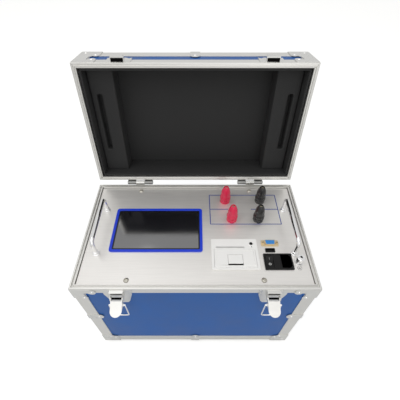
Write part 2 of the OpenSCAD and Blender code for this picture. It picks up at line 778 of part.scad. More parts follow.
module serial_connector_insert() {
    play = 0.1;
    row_y = pin_pitch / 2;
    color([0.1, 0.5, 0.85]) translate([serial_cx, serial_cy, panel_z]) difference() {
        translate([0, 0, -serial_body_h + serial_wall]) linear_extrude(serial_body_h + serial_rise - 2 * serial_wall)
            serial_outline(serial_wall + play);
        for (col = [-2:2]) translate([col * pin_pitch, row_y, 0]) cylinder(h = serial_rise + cut, r = pin_hole_r);
        for (col = [-1.5:1.5]) translate([col * pin_pitch, -row_y, 0]) cylinder(h = serial_rise + cut, r = pin_hole_r);
    }
}

module usb_port() {
    tongue_d = 1.6;
    tongue_side = 1.4;
    color([0.05, 0.05, 0.05]) translate([usb_cx, usb_cy, panel_z]) {
        difference() {
            union() {
                round_block(usb_w, usb_d, usb_rise, usb_lip);
                translate([0, 0, -usb_body_h]) cube_on(usb_w - 2 * usb_lip, usb_d - 2 * usb_lip, usb_body_h + usb_rise / 2);
            }
            translate([0, 0, usb_wall - usb_body_h]) cube_on(usb_w - 2 * usb_wall, usb_d - 2 * usb_wall, usb_body_h + 2 * usb_rise);
        }
        translate([0, tongue_side / 2, usb_wall / 2 - usb_body_h])
            cube_on(usb_w - 2 * usb_wall - 2 * tongue_side, tongue_d, usb_body_h - usb_wall);
    }
}

// Terminals: insulated base, stud with its socket, screw cap with finger flats
base_h_share = 0.17;
base_flare = 0.5;
socket_r = 2;
socket_h = 22;
stud_top_gap = 3;
cap_gap = 0.4;
cap_base_z = terminal_h * base_h_share;

module terminal_base() {
    difference() {
        rotate_extrude() polygon([
            [stud_r + run_gap, 0], [terminal_d / 2 - base_flare, 0], [terminal_d / 2 - base_flare, cap_base_z - 2 * base_flare],
            [terminal_d / 2 - 3 * base_flare, cap_base_z], [stud_r + run_gap, cap_base_z]]);
        for (turn = [0:60:300]) rotate([0, 0, turn]) translate([terminal_d / 2 + base_flare, 0, -cut])
            cylinder(h = cap_base_z + 2 * cut, r = 3 * base_flare);
    }
}

module terminal_bases_red() {
    color([0.85, 0.05, 0.15]) for (at = [terminal_places[0], terminal_places[1]])
        translate([at[0], at[1], panel_z]) terminal_base();
}

module terminal_bases_black() {
    color([0.06, 0.06, 0.06]) for (at = [terminal_places[2], terminal_places[3]])
        translate([at[0], at[1], panel_z]) terminal_base();
}

module terminal_studs() {
    top = terminal_h - stud_top_gap;
    nut_h = 3;
    nut_r = 5.5;
    color([0.82, 0.7, 0.35]) for (at = terminal_places) translate([at[0], at[1], panel_z]) {
        difference() {
            translate([0, 0, -panel_t - stud_tail]) cylinder(h = panel_t + stud_tail + top, r = stud_r);
            translate([0, 0, top - socket_h]) cylinder(h = socket_h + cut, r = socket_r);
        }
        translate([0, 0, -panel_t - nut_h]) cylinder(h = nut_h, r = nut_r, $fn = 6);
    }
}

// Radius of the cap along its height, both as shares: waist at the foot, belly, then a round nose
cap_shares = [
    [0.88, 0], [0.99, 0.05], [1, 0.1], [0.99, 0.22], [0.92, 0.28], [0.86, 0.34], [0.87, 0.46], [0.84, 0.58],
    [0.76, 0.72], [0.64, 0.84], [0.5, 0.94], [0.4, 0.985], [0.34, 1]];

module terminal_cap() {
    cap_h = terminal_h - cap_base_z - cap_gap;
    cap_r = terminal_d / 2;
    dimple_r = cap_h / 2.6;
    dimple_deep = cap_r / 4.2;
    scallop_r = cap_r / 5.5;
    mouth_r = socket_r + seat_gap;
    mouth_lead = 2 * seat_gap;
    translate([0, 0, cap_base_z + cap_gap]) difference() {
        rotate_extrude() polygon(concat([[0, 0]], [for (s = cap_shares) [s[0] * cap_r, s[1] * cap_h]], [[0, cap_h]]));
        for (turn = [0:90:270]) rotate([0, 0, turn + 45])
            translate([cap_r + dimple_r - dimple_deep, 0, cap_h * 0.56]) sphere(dimple_r);
        for (turn = [0:45:315]) rotate([0, 0, turn]) translate([cap_r, 0, -cut])
            cylinder(h = cap_h * 0.2 + cut, r = scallop_r);
        translate([0, 0, -cut]) cylinder(h = cap_h + cut - stud_top_gap + seat_gap, r = stud_r + run_gap);
        translate([0, 0, cap_h - stud_top_gap])
            cylinder(h = stud_top_gap + cut, r1 = mouth_r, r2 = mouth_r + mouth_lead);
    }
}

module terminal_cap_red_1() {
    color([0.88, 0.05, 0.17]) place_cap(0);
}

module terminal_cap_red_2() {
    color([0.88, 0.05, 0.17]) place_cap(1);
}

module terminal_cap_black_1() {
    color([0.05, 0.05, 0.05]) place_cap(2);
}

module terminal_cap_black_2() {
    color([0.05, 0.05, 0.05]) place_cap(3);
}

module place_cap(index) {
    translate([terminal_places[index][0], terminal_places[index][1], panel_z]) terminal_cap();
}

// Ground terminal: plain studs and a knurled thumb nut
ground_collar_r = 6.8;
ground_collar_h = 4;
ground_top = 19;
ground_nut_r = 6.2;
ground_nut_h = 9;

module ground_terminal_base() {
    nut_h = 3;
    color([0.85, 0.85, 0.86]) translate([ground_at[0], ground_at[1], panel_z]) {
        difference() {
            union() {
                cylinder(h = ground_collar_h, r = ground_collar_r);
                translate([0, 0, -panel_t - stud_tail]) cylinder(h = panel_t + stud_tail + ground_top, r = ground_stud_r);
            }
            translate([0, 0, ground_top - ground_bore_h]) cylinder(h = ground_bore_h + cut, r = ground_bore_r);
        }
        translate([0, 0, -panel_t - nut_h]) cylinder(h = nut_h, r = 1.8 * ground_stud_r, $fn = 6);
    }
}

ground_gap = 3.5;
ground_bore_r = 2;
ground_bore_h = 14;

module ground_cap() {
    grooves = 18;
    groove_r = 0.4;
    neck_r = 0.8 * ground_nut_r;
    color([0.88, 0.88, 0.89]) translate([ground_at[0], ground_at[1], panel_z + ground_collar_h + ground_gap]) difference() {
        union() {
            cylinder(h = ground_nut_h, r = ground_nut_r);
            translate([0, 0, ground_nut_h - cut / 4]) cylinder(h = ground_gap / 2, r = neck_r);
        }
        translate([0, 0, -cut]) cylinder(h = 3 * ground_nut_h, r = ground_stud_r + run_gap);
        for (turn = [0:grooves - 1]) rotate([0, 0, turn * 360 / grooves])
            translate([ground_nut_r + groove_r / 2, 0, ground_nut_h / 4]) cylinder(h = ground_nut_h / 2, r = groove_r);
    }
}

// Panel handles: bent rod on round feet
handle_bend = 9;
ferrule_r = 6;
ferrule_h = 7;
ferrule_step = 2;

module panel_handles() {
    rod_r = handle_rod_d / 2;
    half = handle_span / 2;
    leg_h = handle_h - rod_r - handle_bend;
    color([0.9, 0.9, 0.9]) for (side = [-1, 1]) translate([side * handle_x, handle_cy, panel_z]) {
        for (end = [-1, 1]) translate([0, end * half, 0]) {
            cylinder(h = leg_h, r = rod_r);
            cylinder(h = ferrule_step, r = ferrule_r);
            cylinder(h = ferrule_h, r = (ferrule_r + rod_r) / 2);
            translate([0, 0, leg_h]) mirror([0, (end + 1) / 2, 0]) translate([0, handle_bend, 0])
                rotate([0, 0, 180]) rotate([90, 0, 90]) rotate_extrude(angle = 90) translate([handle_bend, 0]) circle(rod_r);
        }
        translate([0, -half + handle_bend, handle_h - rod_r]) rotate([-90, 0, 0])
            cylinder(h = handle_span - 2 * handle_bend, r = rod_r);
    }
}

// Latches: plate with ears and pin, tilting lever, loose pin and wire bail
plate_t = 1.2;
plate_half = 23;
plate_waist = 16;
plate_foot = 12;
plate_drop = 50;
lever_half = 9.5;
ear_gap = 0.3;
ear_t = 1.2;
ear_half = lever_half + ear_gap + ear_t;
ear_r = 3.6;
pivot_fwd = 9;
pivot_drop = 17;
pivot_pin_r = 1.5;
lever_len = 28;
lever_t = 1.5;
cheek_t = 1.2;
loose_pin_r = 2.2;
loose_pin_reach = 11;
loose_pin_angle = 20;
wire_r = 1.3;
wire_bend = 4;
bail_len = 42;
bail_half = 12.75;
stub_in = 4.8;
slot_half = 9;
slot_h = 3.8;
slot_up = 1.5;
bridge_fwd = 6.5;
bridge_top = 3.8;
bridge_low = 11;

// Place of the loose pin about the lever's pivot, with the lever closed
loose_y = loose_pin_reach * sin(loose_pin_angle);
loose_z = -loose_pin_reach * cos(loose_pin_angle);
// The same with the lever hanging out
rest_angle = latch_tilt - loose_pin_angle;
pin_y = -pivot_fwd - loose_pin_reach * sin(rest_angle);
pin_z = -pivot_drop - loose_pin_reach * cos(rest_angle);

module at_latch(side) {
    translate([side * latch_x, -case_d / 2, z_rim]) children();
}

// A profile in the plane of Y and Z, carried along X between two places
module side_profile(from_x, to_x) {
    translate([from_x, 0, 0]) rotate([90, 0, 90]) linear_extrude(to_x - from_x) children();
}

module latch_plate() {
    top = -nose_h - seat_gap;
    shoulder = -pivot_drop - ear_r / 2;
    difference() {
        union() {
            rotate([90, 0, 0]) linear_extrude(plate_t) plate_outline(top, shoulder);
            intersection() {
                translate([0, trim_t, 0]) rotate([90, 0, 0]) linear_extrude(trim_t) plate_outline(top, shoulder);
                translate([-plate_half, 0, -plate_drop]) cube([2 * plate_half, trim_t, plate_drop - base_rim_leg - mitre_gap]);
            }
            span([-ear_half, -bridge_fwd, -bridge_low], [ear_half, 0, -bridge_top]);
            for (side = [-1, 1]) side_profile(side * (ear_half - ear_t / 2) - ear_t / 2, side * (ear_half - ear_t / 2) + ear_t / 2) {
                translate([-pivot_fwd, -pivot_drop]) circle(ear_r);
                translate([-pivot_fwd, -pivot_drop - ear_r]) square([pivot_fwd, 2 * ear_r]);
            }
            side_profile(-ear_half, ear_half) translate([-pivot_fwd, -pivot_drop]) circle(pivot_pin_r);
        }
        span([-slot_half, -bridge_fwd - cut, -bridge_low + slot_up], [slot_half, -plate_t, -bridge_low + slot_up + slot_h]);
    }
}

module plate_outline(top, shoulder) {
    polygon([
        [-plate_half, top], [-plate_half, shoulder], [-plate_waist, -plate_drop * 0.88], [-plate_foot, -plate_drop],
        [plate_foot, -plate_drop], [plate_waist, -plate_drop * 0.88], [plate_half, shoulder], [plate_half, top]]);
}

module latch_plates() {
    color([0.85, 0.85, 0.84]) for (side = [-1, 1]) at_latch(side) latch_plate();
}

// Lever drawn closed about its pivot: curled face between two cheeks
module closed_lever() {
    face_top = -3.5;
    curl = 2.5;
    boss_r = 2.9;
    difference() {
        union() {
            intersection() {
                side_profile(-lever_half, lever_half) polygon([
                    [-2 * lever_t, face_top], [-2 * lever_t, -lever_len * 0.62], [-2 * lever_t - curl * 0.6, -lever_len * 0.8],
                    [-2 * lever_t - curl, -lever_len], [-lever_t - curl, -lever_len], [-lever_t - curl * 0.6, -lever_len * 0.8],
                    [-lever_t, -lever_len * 0.62], [-lever_t, face_top]]);
                translate([0, cut, 0]) rotate([90, 0, 0]) linear_extrude(4 * lever_t + curl + cut) {
                    translate([-lever_half, -lever_len + lever_half]) square([2 * lever_half, lever_len - lever_half]);
                    translate([0, -lever_len + lever_half]) circle(lever_half);
                }
            }
            for (side = [-1, 1])
                side_profile(side * (lever_half - cheek_t / 2) - cheek_t / 2, side * (lever_half - cheek_t / 2) + cheek_t / 2) {
                    circle(2 * pivot_pin_r);
                    translate([loose_y, loose_z]) circle(boss_r);
                    polygon([
                        [-2 * lever_t, 0], [2 * pivot_pin_r, 0], [loose_y + boss_r, loose_z], [loose_y, loose_z - boss_r],
                        [-lever_t, -lever_len * 0.66], [-2 * lever_t, -lever_len * 0.62]]);
                }
        }
        side_profile(-lever_half - cut, lever_half + cut) circle(pivot_pin_r + run_gap);
        side_profile(-lever_half - cut, lever_half + cut) translate([loose_y, loose_z]) circle(loose_pin_r + run_gap);
    }
}

module latch_lever(side) {
    color([0.93, 0.93, 0.92]) at_latch(side) translate([0, -pivot_fwd, -pivot_drop]) rotate([-latch_tilt, 0, 0]) closed_lever();
}

module latch_lever_left() {
    latch_lever(-1);
}

module latch_lever_right() {
    latch_lever(1);
}

module latch_pin(side) {
    reach = bail_half - wire_r - seat_gap;
    color([0.9, 0.9, 0.9]) at_latch(side) translate([0, pin_y, pin_z]) difference() {
        side_profile(-reach, reach) circle(loose_pin_r);
        for (end = [-1, 1]) translate([end * (reach + cut), 0, 0]) rotate([0, -90 * end, 0])
            cylinder(h = stub_in + cut, r = wire_r + run_gap);
    }
}

module latch_pin_left() {
    latch_pin(-1);
}

module latch_pin_right() {
    latch_pin(1);
}

// Wire bail hanging from the loose pin
module latch_bail(side) {
    color([0.88, 0.88, 0.88]) at_latch(side) translate([0, pin_y, pin_z]) {
        for (end = [0, 1]) mirror([end, 0, 0]) {
            translate([bail_half, 0, -bail_len + wire_bend]) cylinder(h = bail_len - wire_bend, r = wire_r);
            translate([bail_half, 0, 0]) sphere(wire_r);
            translate([bail_half - stub_in, 0, 0]) rotate([0, 90, 0]) cylinder(h = stub_in, r = wire_r);
            translate([bail_half - wire_bend, 0, -bail_len + wire_bend]) rotate([90, 90, 0])
                rotate_extrude(angle = 90) translate([wire_bend, 0]) circle(wire_r);
        }
        translate([-bail_half + wire_bend, 0, -bail_len]) rotate([0, 90, 0])
            cylinder(h = 2 * (bail_half - wire_bend), r = wire_r);
    }
}

module latch_bail_left() {
    latch_bail(-1);
}

module latch_bail_right() {
    latch_bail(1);
}

// Catch on the lid: the closed bail's crossbar lies in its hook
catch_half = 20.5;
catch_low = 3.4;
catch_high = 30;
pocket_half = 11;
pocket_wall = 0.9;
pocket_top = 10;
hook_half = 8.3;
hook_lip = 1.8;
hook_high = 18;
bar_play = 0.7;
closed_bar_y = -pivot_fwd + loose_y;
closed_bar_z = -pivot_drop + loose_z + bail_len - parting_gap;
hook_floor = closed_bar_z - wire_r - seat_gap;
hook_out = closed_bar_y - wire_r - bar_play - hook_lip;

module catch_plate() {
    backed = lid_rim_leg + mitre_gap;
    difference() {
        union() {
            span([-catch_half, -plate_t, catch_low], [catch_half, 0, catch_high]);
            span([-catch_half, 0, backed], [catch_half, trim_t, catch_high]);
            span([-pocket_half, hook_out, catch_low], [pocket_half, 0, pocket_top]);
            span([-hook_half, hook_out, catch_low], [hook_half, 0, hook_floor]);
            span([-hook_half, hook_out, pocket_top - cut], [hook_half, hook_out + hook_lip, hook_high]);
        }
        span([-pocket_half + pocket_wall, hook_out + hook_lip, catch_low - cut],
            [pocket_half - pocket_wall, -plate_t, pocket_top - pocket_wall]);
        for (side = [-1, 1]) mirror([(side + 1) / 2, 0, 0]) translate([-catch_half, -plate_t - cut, catch_high]) rotate([0, 45, 0])
            cube([catch_low * 2, plate_t + trim_t + 2 * cut, catch_low * 2], center = false);
    }
}

module catch_plates() {
    color([0.85, 0.85, 0.84]) on_open_lid() for (side = [-1, 1])
        translate([side * latch_x, -case_d / 2, lid_z]) catch_plate();
}

// Lid hinges
knuckle_r = 4;
hinge_pin_r = 1.6;
leaf_t = 1.4;
leaf_h = 12;
leaf_gap = 0.3;
knuckle_share = 0.34;
pin_head = 0.8;

// Leaf in the plane of Y and Z about the hinge line, for the wall below it
module leaf_profile() {
    wall = -pivot_out;
    low = -base_rim_leg + mitre_gap;
    high = -nose_h - seat_gap;
    translate([wall, low]) square([leaf_t, high - low]);
    polygon([[wall, high - 2 * leaf_t], [0, -knuckle_r], [0, -knuckle_r + leaf_t], [wall, high]]);
    circle(knuckle_r);
}

module hinge_leaf(from_x, to_x, plate_from, plate_to) {
    difference() {
        union() {
            side_profile(from_x, to_x) leaf_profile();
            side_profile(plate_from, plate_to) translate([-pivot_out, -base_rim_leg + mitre_gap])
                square([leaf_t, base_rim_leg - mitre_gap - nose_h - seat_gap]);
        }
        side_profile(from_x - cut, to_x + cut) circle(hinge_pin_r + run_gap);
    }
}

module hinge_base_leaves() {
    mid = hinge_w * knuckle_share / 2;
    color([0.75, 0.75, 0.76]) for (side = [-1, 1]) translate([side * hinge_x, pivot_y, pivot_z])
        hinge_leaf(-mid, mid, -hinge_w / 2, hinge_w / 2);
}

module hinge_lid_leaves() {
    mid = hinge_w * knuckle_share / 2 + leaf_gap;
    color([0.55, 0.55, 0.57]) on_open_lid() for (side = [-1, 1]) translate([side * hinge_x, pivot_y, pivot_z])
        mirror([0, 0, 1]) {
            hinge_leaf(mid, hinge_w / 2, -hinge_w / 2, hinge_w / 2);
            hinge_leaf(-hinge_w / 2, -mid, -hinge_w / 2, hinge_w / 2);
        }
}

module hinge_pins() {
    color([0.7, 0.7, 0.72]) for (side = [-1, 1]) translate([side * hinge_x, pivot_y, pivot_z]) {
        half = hinge_w / 2 + pin_head;
        side_profile(-half, half) circle(hinge_pin_r);
        for (end = [-1, 1]) translate([end * (hinge_w / 2 + seat_gap), 0, 0]) rotate([0, 90 * end, 0])
            cylinder(h = pin_head, r = 1.4 * hinge_pin_r);
    }
}

// Carrying handles on the ends of the case
grip_plate_w = 124;
grip_plate_h = 42;
grip_plate_t = 1.6;
grip_span = 100;
grip_out = 7;
grip_arm = 33;
grip_bend = 8;
grip_rod_r = 3;
grip_ear_t = 5;
grip_ear_r = 5.5;
grip_pad_r = 6;
grip_pad_share = 0.72;
grip_pad_shift = 2;

// Both end handles are drawn for the right end, where +X is outward
module at_end(side) {
    mirror([(1 - side) / 2, 0, 0]) translate([case_w / 2 - trim_t, 0, side_handle_z]) children();
}

module side_handle_plates() {
    ear_y = grip_span / 2 + grip_rod_r + seat_gap;
    color([0.8, 0.8, 0.8]) for (side = [-1, 1]) at_end(side) difference() {
        union() {
            rotate([90, 0, 90]) round_block(grip_plate_w, grip_plate_h, grip_plate_t, grip_ear_t);
            for (end = [-1, 1]) translate([0, end * (ear_y + grip_ear_t / 2), 0]) {
                translate([grip_out, grip_ear_t / 2, 0]) rotate([90, 0, 0]) cylinder(h = grip_ear_t, r = grip_ear_r);
                span([0, -grip_ear_t / 2, -grip_ear_r], [grip_out, grip_ear_t / 2, grip_ear_r]);
            }
        }
        translate([grip_out, 0, 0]) rotate([90, 0, 0])
            cylinder(h = grip_plate_w, r = grip_rod_r / 2 + run_gap, center = true);
    }
}

module side_grip(side) {
    half = grip_span / 2;
    arm_h = grip_arm - grip_bend;
    color([0.15, 0.15, 0.15]) at_end(side) translate([grip_out, 0, 0]) {
        for (end = [-1, 1]) mirror([0, (1 - end) / 2, 0]) translate([0, half, 0]) {
            translate([0, 0, -arm_h]) cylinder(h = arm_h, r = grip_rod_r);
            rotate([90, 0, 0]) cylinder(h = 1.6 * grip_rod_r, r = 1.2 * grip_rod_r, center = true);
            rotate([-90, 0, 0]) cylinder(h = grip_rod_r + grip_ear_t, r = grip_rod_r / 2);
            translate([0, -grip_bend, -arm_h]) rotate([0, 180, 0]) rotate([90, 0, 90])
                rotate_extrude(angle = 90) translate([grip_bend, 0]) circle(grip_rod_r);
        }
        translate([0, half - grip_bend, -grip_arm]) rotate([90, 0, 0])
            cylinder(h = grip_span - 2 * grip_bend, r = grip_rod_r);
        translate([grip_pad_shift, half * grip_pad_share, -grip_arm]) rotate([90, 0, 0])
            cylinder(h = grip_span * grip_pad_share, r = grip_pad_r);
    }
}

module side_grip_left() {
    side_grip(-1);
}

module side_grip_right() {
    side_grip(1);
}

// What the base holds under its panel
floor_z = foot_h + trim_t + board_t;
tray_t = 1.5;
tray_lip = 12;
tray_side = 8;
core_w = 86;
core_d = 90;
core_h = 72;
leg_w = 15;
coil_w = 50;
coil_d = 118;
core_side = 93.8;
core_x = -inner_x + core_side;
sink_left_gap = 27;
sink_right_gap = 3;
sink_d = 120;
sink_h = 60;
sink_base = 8;
fin_t = 2;
fin_pitch = 8;
pcb_w = 110;
pcb_d = 150;
pcb_t = 1.6;
pcb_stand = 12;
pcb_side = 65.8;
pcb_x = inner_x - pcb_side;
sink_left = core_x + core_w / 2 + sink_left_gap;
sink_w = pcb_x - pcb_w / 2 - sink_right_gap - sink_left;
sink_x = sink_left + sink_w / 2;
part_r = 9;
part_h = 32;

module chassis_tray() {
    half_x = inner_x - tray_side;
    half_y = inner_y - tray_side;
    color([0.7, 0.7, 0.72]) difference() {
        span([-half_x, -half_y, floor_z], [half_x, half_y, floor_z + tray_lip]);
        span([-half_x + tray_t, -half_y + tray_t, floor_z + tray_t], [half_x - tray_t, half_y - tray_t, floor_z + tray_lip + cut]);
    }
}

module power_transformer() {
    yoke_z = floor_z + tray_t;
    color([0.45, 0.3, 0.2]) translate([core_x, 0, yoke_z]) {
        difference() {
            cube_on(core_w, core_d, core_h);
            for (side = [-1, 1]) translate([side * (coil_w / 4 + leg_w / 4), 0, leg_w])
                cube_on(coil_w / 2 - leg_w / 2, core_d + 2 * cut, core_h - 2 * leg_w);
        }
        translate([0, 0, leg_w]) cube_on(coil_w, coil_d, core_h - 2 * leg_w);
    }
}

module heat_sink() {
    fins = floor((sink_w - fin_t) / fin_pitch);
    color([0.65, 0.65, 0.67]) translate([sink_x, 0, floor_z + tray_t]) {
        cube_on(sink_w, sink_d, sink_base);
        for (i = [0:fins]) translate([-sink_w / 2 + fin_t / 2 + i * fin_pitch, 0, sink_base / 2])
            cube_on(fin_t, sink_d, sink_h - sink_base / 2);
    }
}

module main_board() {
    base_z = floor_z + tray_t;
    color([0.1, 0.4, 0.2]) translate([pcb_x, 0, base_z]) {
        translate([0, 0, pcb_stand]) cube_on(pcb_w, pcb_d, pcb_t);
        for (sx = [-1, 1], sy = [-1, 1]) translate([sx * (pcb_w / 2 - part_r), sy * (pcb_d / 2 - part_r), 0])
            cylinder(h = pcb_stand + pcb_t / 2, r = part_r / 3);
        for (row = [-1:1]) translate([-pcb_w / 4, row * 2.6 * part_r, pcb_stand + pcb_t / 2]) cylinder(h = part_h, r = part_r);
        translate([pcb_w / 6, pcb_d / 6, pcb_stand + pcb_t / 2]) cube_on(4 * part_r, 3 * part_r, part_h / 2);
        translate([pcb_w / 6, -pcb_d / 5, pcb_stand + pcb_t / 2]) cube_on(3 * part_r, 3 * part_r, part_h / 5);
    }
}

// Lid shell, drawn closed with its rim on the base's rim
lid_top = lid_z + lid_h;

module lid_boards() {
    low = lid_z + rim_cap_h;
    high = lid_top - trim_t;
    color([0.23, 0.39, 0.63]) on_open_lid() {
        for (side = [-1, 1]) {
            translate([-board_x, side * (board_y - board_t / 2) - board_t / 2, low]) cube([2 * board_x, board_t, high - low]);
            translate([side * (board_x - board_t / 2) - board_t / 2, -inner_y + mitre_gap, low])
                cube([board_t, 2 * (inner_y - mitre_gap), high - low]);
        }
        translate([-inner_x + mitre_gap, -inner_y + mitre_gap, high - board_t])
            cube([2 * (inner_x - mitre_gap), 2 * (inner_y - mitre_gap), board_t]);
    }
}

module lid_rim_frame() {
    color([0.8, 0.8, 0.8]) on_open_lid() translate([0, 0, lid_z]) mitred_ring() {
        mirror([0, 1]) rim_section(lid_rim_leg);
        translate([groove_u + (groove_w - tongue_w) / 2, -tongue_h]) square([tongue_w, tongue_h + rim_cap_h / 2]);
    }
}

module lid_edge_trims() {
    upright = lid_h - edge_trim_w - lid_rim_leg;
    color([0.82, 0.82, 0.81]) on_open_lid() {
        translate([0, 0, lid_top]) mitred_ring() mirror([0, 1]) angle_section(edge_trim_w, edge_trim_w);
        at_corners() translate([0, 0, lid_z + lid_rim_leg + mitre_gap]) corner_trim(upright - 2 * mitre_gap);
    }
}

lid_bracket_arm = bracket_arm + 2;
lid_rim_arm = lid_h - edge_trim_w / 2 - lid_rim_leg;

// On the lid the corner bracket's upright arm meets the rim bracket in one pressing
module lid_corner_bracket() {
    arm_up = lid_h - nose_h - seat_gap;
    mirror([0, 0, 1]) {
        rotate([90, 0, 0]) linear_extrude(bracket_t) lid_bracket_face(arm_up);
        translate([-bracket_t, 0, 0]) rotate([90, 0, 90]) linear_extrude(bracket_t) lid_bracket_face(arm_up);
        translate([0, 0, -bracket_t]) linear_extrude(bracket_t)
            bracket_face(lid_bracket_arm, lid_bracket_arm, edge_trim_w, edge_trim_w);
    }
}

module lid_bracket_face(arm_up) {
    low = arm_up - lid_rim_leg + nose_h + lobe_r - lobe_out;
    bracket_face(lid_bracket_arm, edge_trim_w + lobe_r, edge_trim_w, corner_trim_w);
    translate([-bracket_t, -bracket_t]) square([corner_trim_w, arm_up + bracket_t]);
    translate([0, low]) square([lid_bracket_arm - lobe_r, arm_up - low]);
    translate([lid_bracket_arm - lobe_r, low]) circle(lobe_r);
    translate([lid_bracket_arm - 2 * lobe_r, low]) square([2 * lobe_r, arm_up - low]);
}

module lid_brackets() {
    color([0.86, 0.86, 0.85]) on_open_lid() translate([0, 0, lid_top]) {
        at_corners() lid_corner_bracket();
        at_sides() mirror([0, 0, 1]) edge_brace(edge_trim_w);
    }
}

module lid_rivets() {
    arm_up = lid_h - nose_h - seat_gap;
    places = [
        lobe_at(lid_bracket_arm, edge_trim_w),
        [lid_bracket_arm - lobe_r, arm_up - lid_rim_leg + nose_h + lobe_r - lobe_out],
        [lobe_r + rivet_r / 2, lobe_r + rivet_r / 2]];
    color([0.9, 0.9, 0.9]) on_open_lid() translate([0, 0, lid_top]) mirror([0, 0, 1]) {
        at_corners() corner_rivets(places);
        at_sides() wall_rivet([0, edge_trim_w + brace_out - brace_w / 2]);
    }
}

// Foam in the lid
foam_side_t = 3.8;
foam_top_t = 6;
foam_low = 3;
block_reach = 30.5;
block_in = handle_x - block_reach;
block_out_gap = 2;
block_back = 12;
block_front = 20;
block_low = 22;
slit_play = 2;
slit_w = handle_rod_d + slit_play;
slit_over = 3;
slit_top_gap = 4;
foam_top = lid_top - trim_t - board_t;

module lid_foam_lining() {
    out_x = inner_x - rim_inner_t - seat_gap;
    out_y = inner_y - rim_inner_t - seat_gap;
    color([0.05, 0.05, 0.05]) on_open_lid() difference() {
        span([-out_x, -out_y, lid_z + foam_low], [out_x, out_y, foam_top]);
        span([-out_x + foam_side_t, -out_y + foam_side_t, lid_z], [out_x - foam_side_t, out_y - foam_side_t, foam_top - foam_top_t]);
    }
}

module lid_foam_blocks() {
    out_x = inner_x - rim_inner_t - seat_gap - foam_side_t - block_out_gap;
    low = lid_z + block_low;
    high = foam_top - foam_top_t;
    slit_half = handle_span / 2 + handle_rod_d / 2 + slit_over;
    slit_high = panel_z + handle_h + slit_top_gap;
    color([0.07, 0.07, 0.06]) on_open_lid() for (side = [0, 1]) mirror([side, 0, 0]) difference() {
        span([block_in, -case_d / 2 + block_front, low], [out_x, case_d / 2 - block_back, high]);
        span([handle_x - slit_w / 2, handle_cy - slit_half, low - cut], [handle_x + slit_w / 2, handle_cy + slit_half, slit_high]);
    }
}

base_wall_boards();
base_floor_board();
base_rim_frame();
base_edge_trims();
base_brackets();
base_rivets();
rubber_feet();
panel_rails();
control_panel();
panel_screws();
screen_frame();
touch_screen();
display_module();
printer_housing();
inlet_housing();
inlet_pins();
serial_connector_shell();
serial_connector_insert();
usb_port();
terminal_bases_red();
terminal_bases_black();
terminal_studs();
ground_terminal_base();
panel_handles();
latch_plates();
hinge_base_leaves();
hinge_pins();
side_handle_plates();
chassis_tray();
power_transformer();
heat_sink();
main_board();
lid_boards();
lid_rim_frame();
lid_edge_trims();
lid_brackets();
lid_rivets();
lid_foam_lining();
lid_foam_blocks();
catch_plates();
hinge_lid_leaves();
latch_lever_left();
latch_lever_right();
latch_pin_left();
latch_pin_right();
latch_bail_left();
latch_bail_right();
terminal_cap_red_1();
terminal_cap_red_2();
terminal_cap_black_1();
terminal_cap_black_2();
ground_cap();
power_rocker();
printer_door();
printer_latch();
feed_button();
paper_roll();
side_grip_left();
side_grip_right();
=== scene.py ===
"""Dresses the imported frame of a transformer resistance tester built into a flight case.

The CAD nodes give the shapes. Each sub-assembly below is a class: it gives its nodes their finishes,
softens the edges of those that show, and models what the CAD leaves to the looks. Places are in the
frame of the CAD: X right, Y back, Z up. The sub-assemblies' sizes are in millimetres, the studio's in
metres.
"""

import json
import logging
import math
from dataclasses import dataclass, field
from enum import Enum
from typing import ClassVar, Iterable, Sequence

import bpy
from mathutils import Matrix, Vector, noise

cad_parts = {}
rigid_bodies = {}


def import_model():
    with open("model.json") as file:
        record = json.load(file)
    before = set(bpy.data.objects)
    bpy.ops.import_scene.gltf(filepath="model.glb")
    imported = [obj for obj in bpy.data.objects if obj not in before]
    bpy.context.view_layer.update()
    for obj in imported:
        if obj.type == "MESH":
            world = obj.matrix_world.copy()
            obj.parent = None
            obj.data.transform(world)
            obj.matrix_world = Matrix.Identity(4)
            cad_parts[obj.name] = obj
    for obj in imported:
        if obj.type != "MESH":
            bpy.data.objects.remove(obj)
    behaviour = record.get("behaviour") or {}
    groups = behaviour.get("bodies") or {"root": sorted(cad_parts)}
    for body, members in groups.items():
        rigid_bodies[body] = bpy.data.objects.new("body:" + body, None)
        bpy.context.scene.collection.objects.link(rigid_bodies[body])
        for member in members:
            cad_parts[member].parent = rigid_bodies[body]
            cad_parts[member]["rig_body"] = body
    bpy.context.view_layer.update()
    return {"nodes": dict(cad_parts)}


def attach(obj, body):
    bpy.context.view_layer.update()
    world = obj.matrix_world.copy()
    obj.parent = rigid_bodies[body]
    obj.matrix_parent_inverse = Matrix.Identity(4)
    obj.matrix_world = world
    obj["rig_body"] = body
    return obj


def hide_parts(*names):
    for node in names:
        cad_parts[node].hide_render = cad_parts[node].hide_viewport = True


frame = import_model()

MM = 0.001
LOG = logging.getLogger("tester")

Object = bpy.types.Object
Color = tuple[float, float, float]
Point = tuple[float, float, float]
Pair = tuple[float, float]
Socket = bpy.types.NodeSocket

ROUND_STEPS = 2
FULL_STEPS = 3
SIDES = ((-1, "left"), (1, "right"))


def mm(*values: float) -> Vector:
    """A place or size given in millimetres, as a vector in metres."""
    return Vector(values) * MM


# Modelling


class Edge(Enum):
    """How far the sharp edges of a piece are rounded, in millimetres."""

    AS_MADE = 0
    CONTACT = 0.12
    FINE = 0.15
    CRISP = 0.2
    PLAIN = 0.25
    MOULDED = 0.3
    EXTRUDED = 0.35
    BEZEL = 0.4
    PRESSED = 0.45
    FULL = 0.6


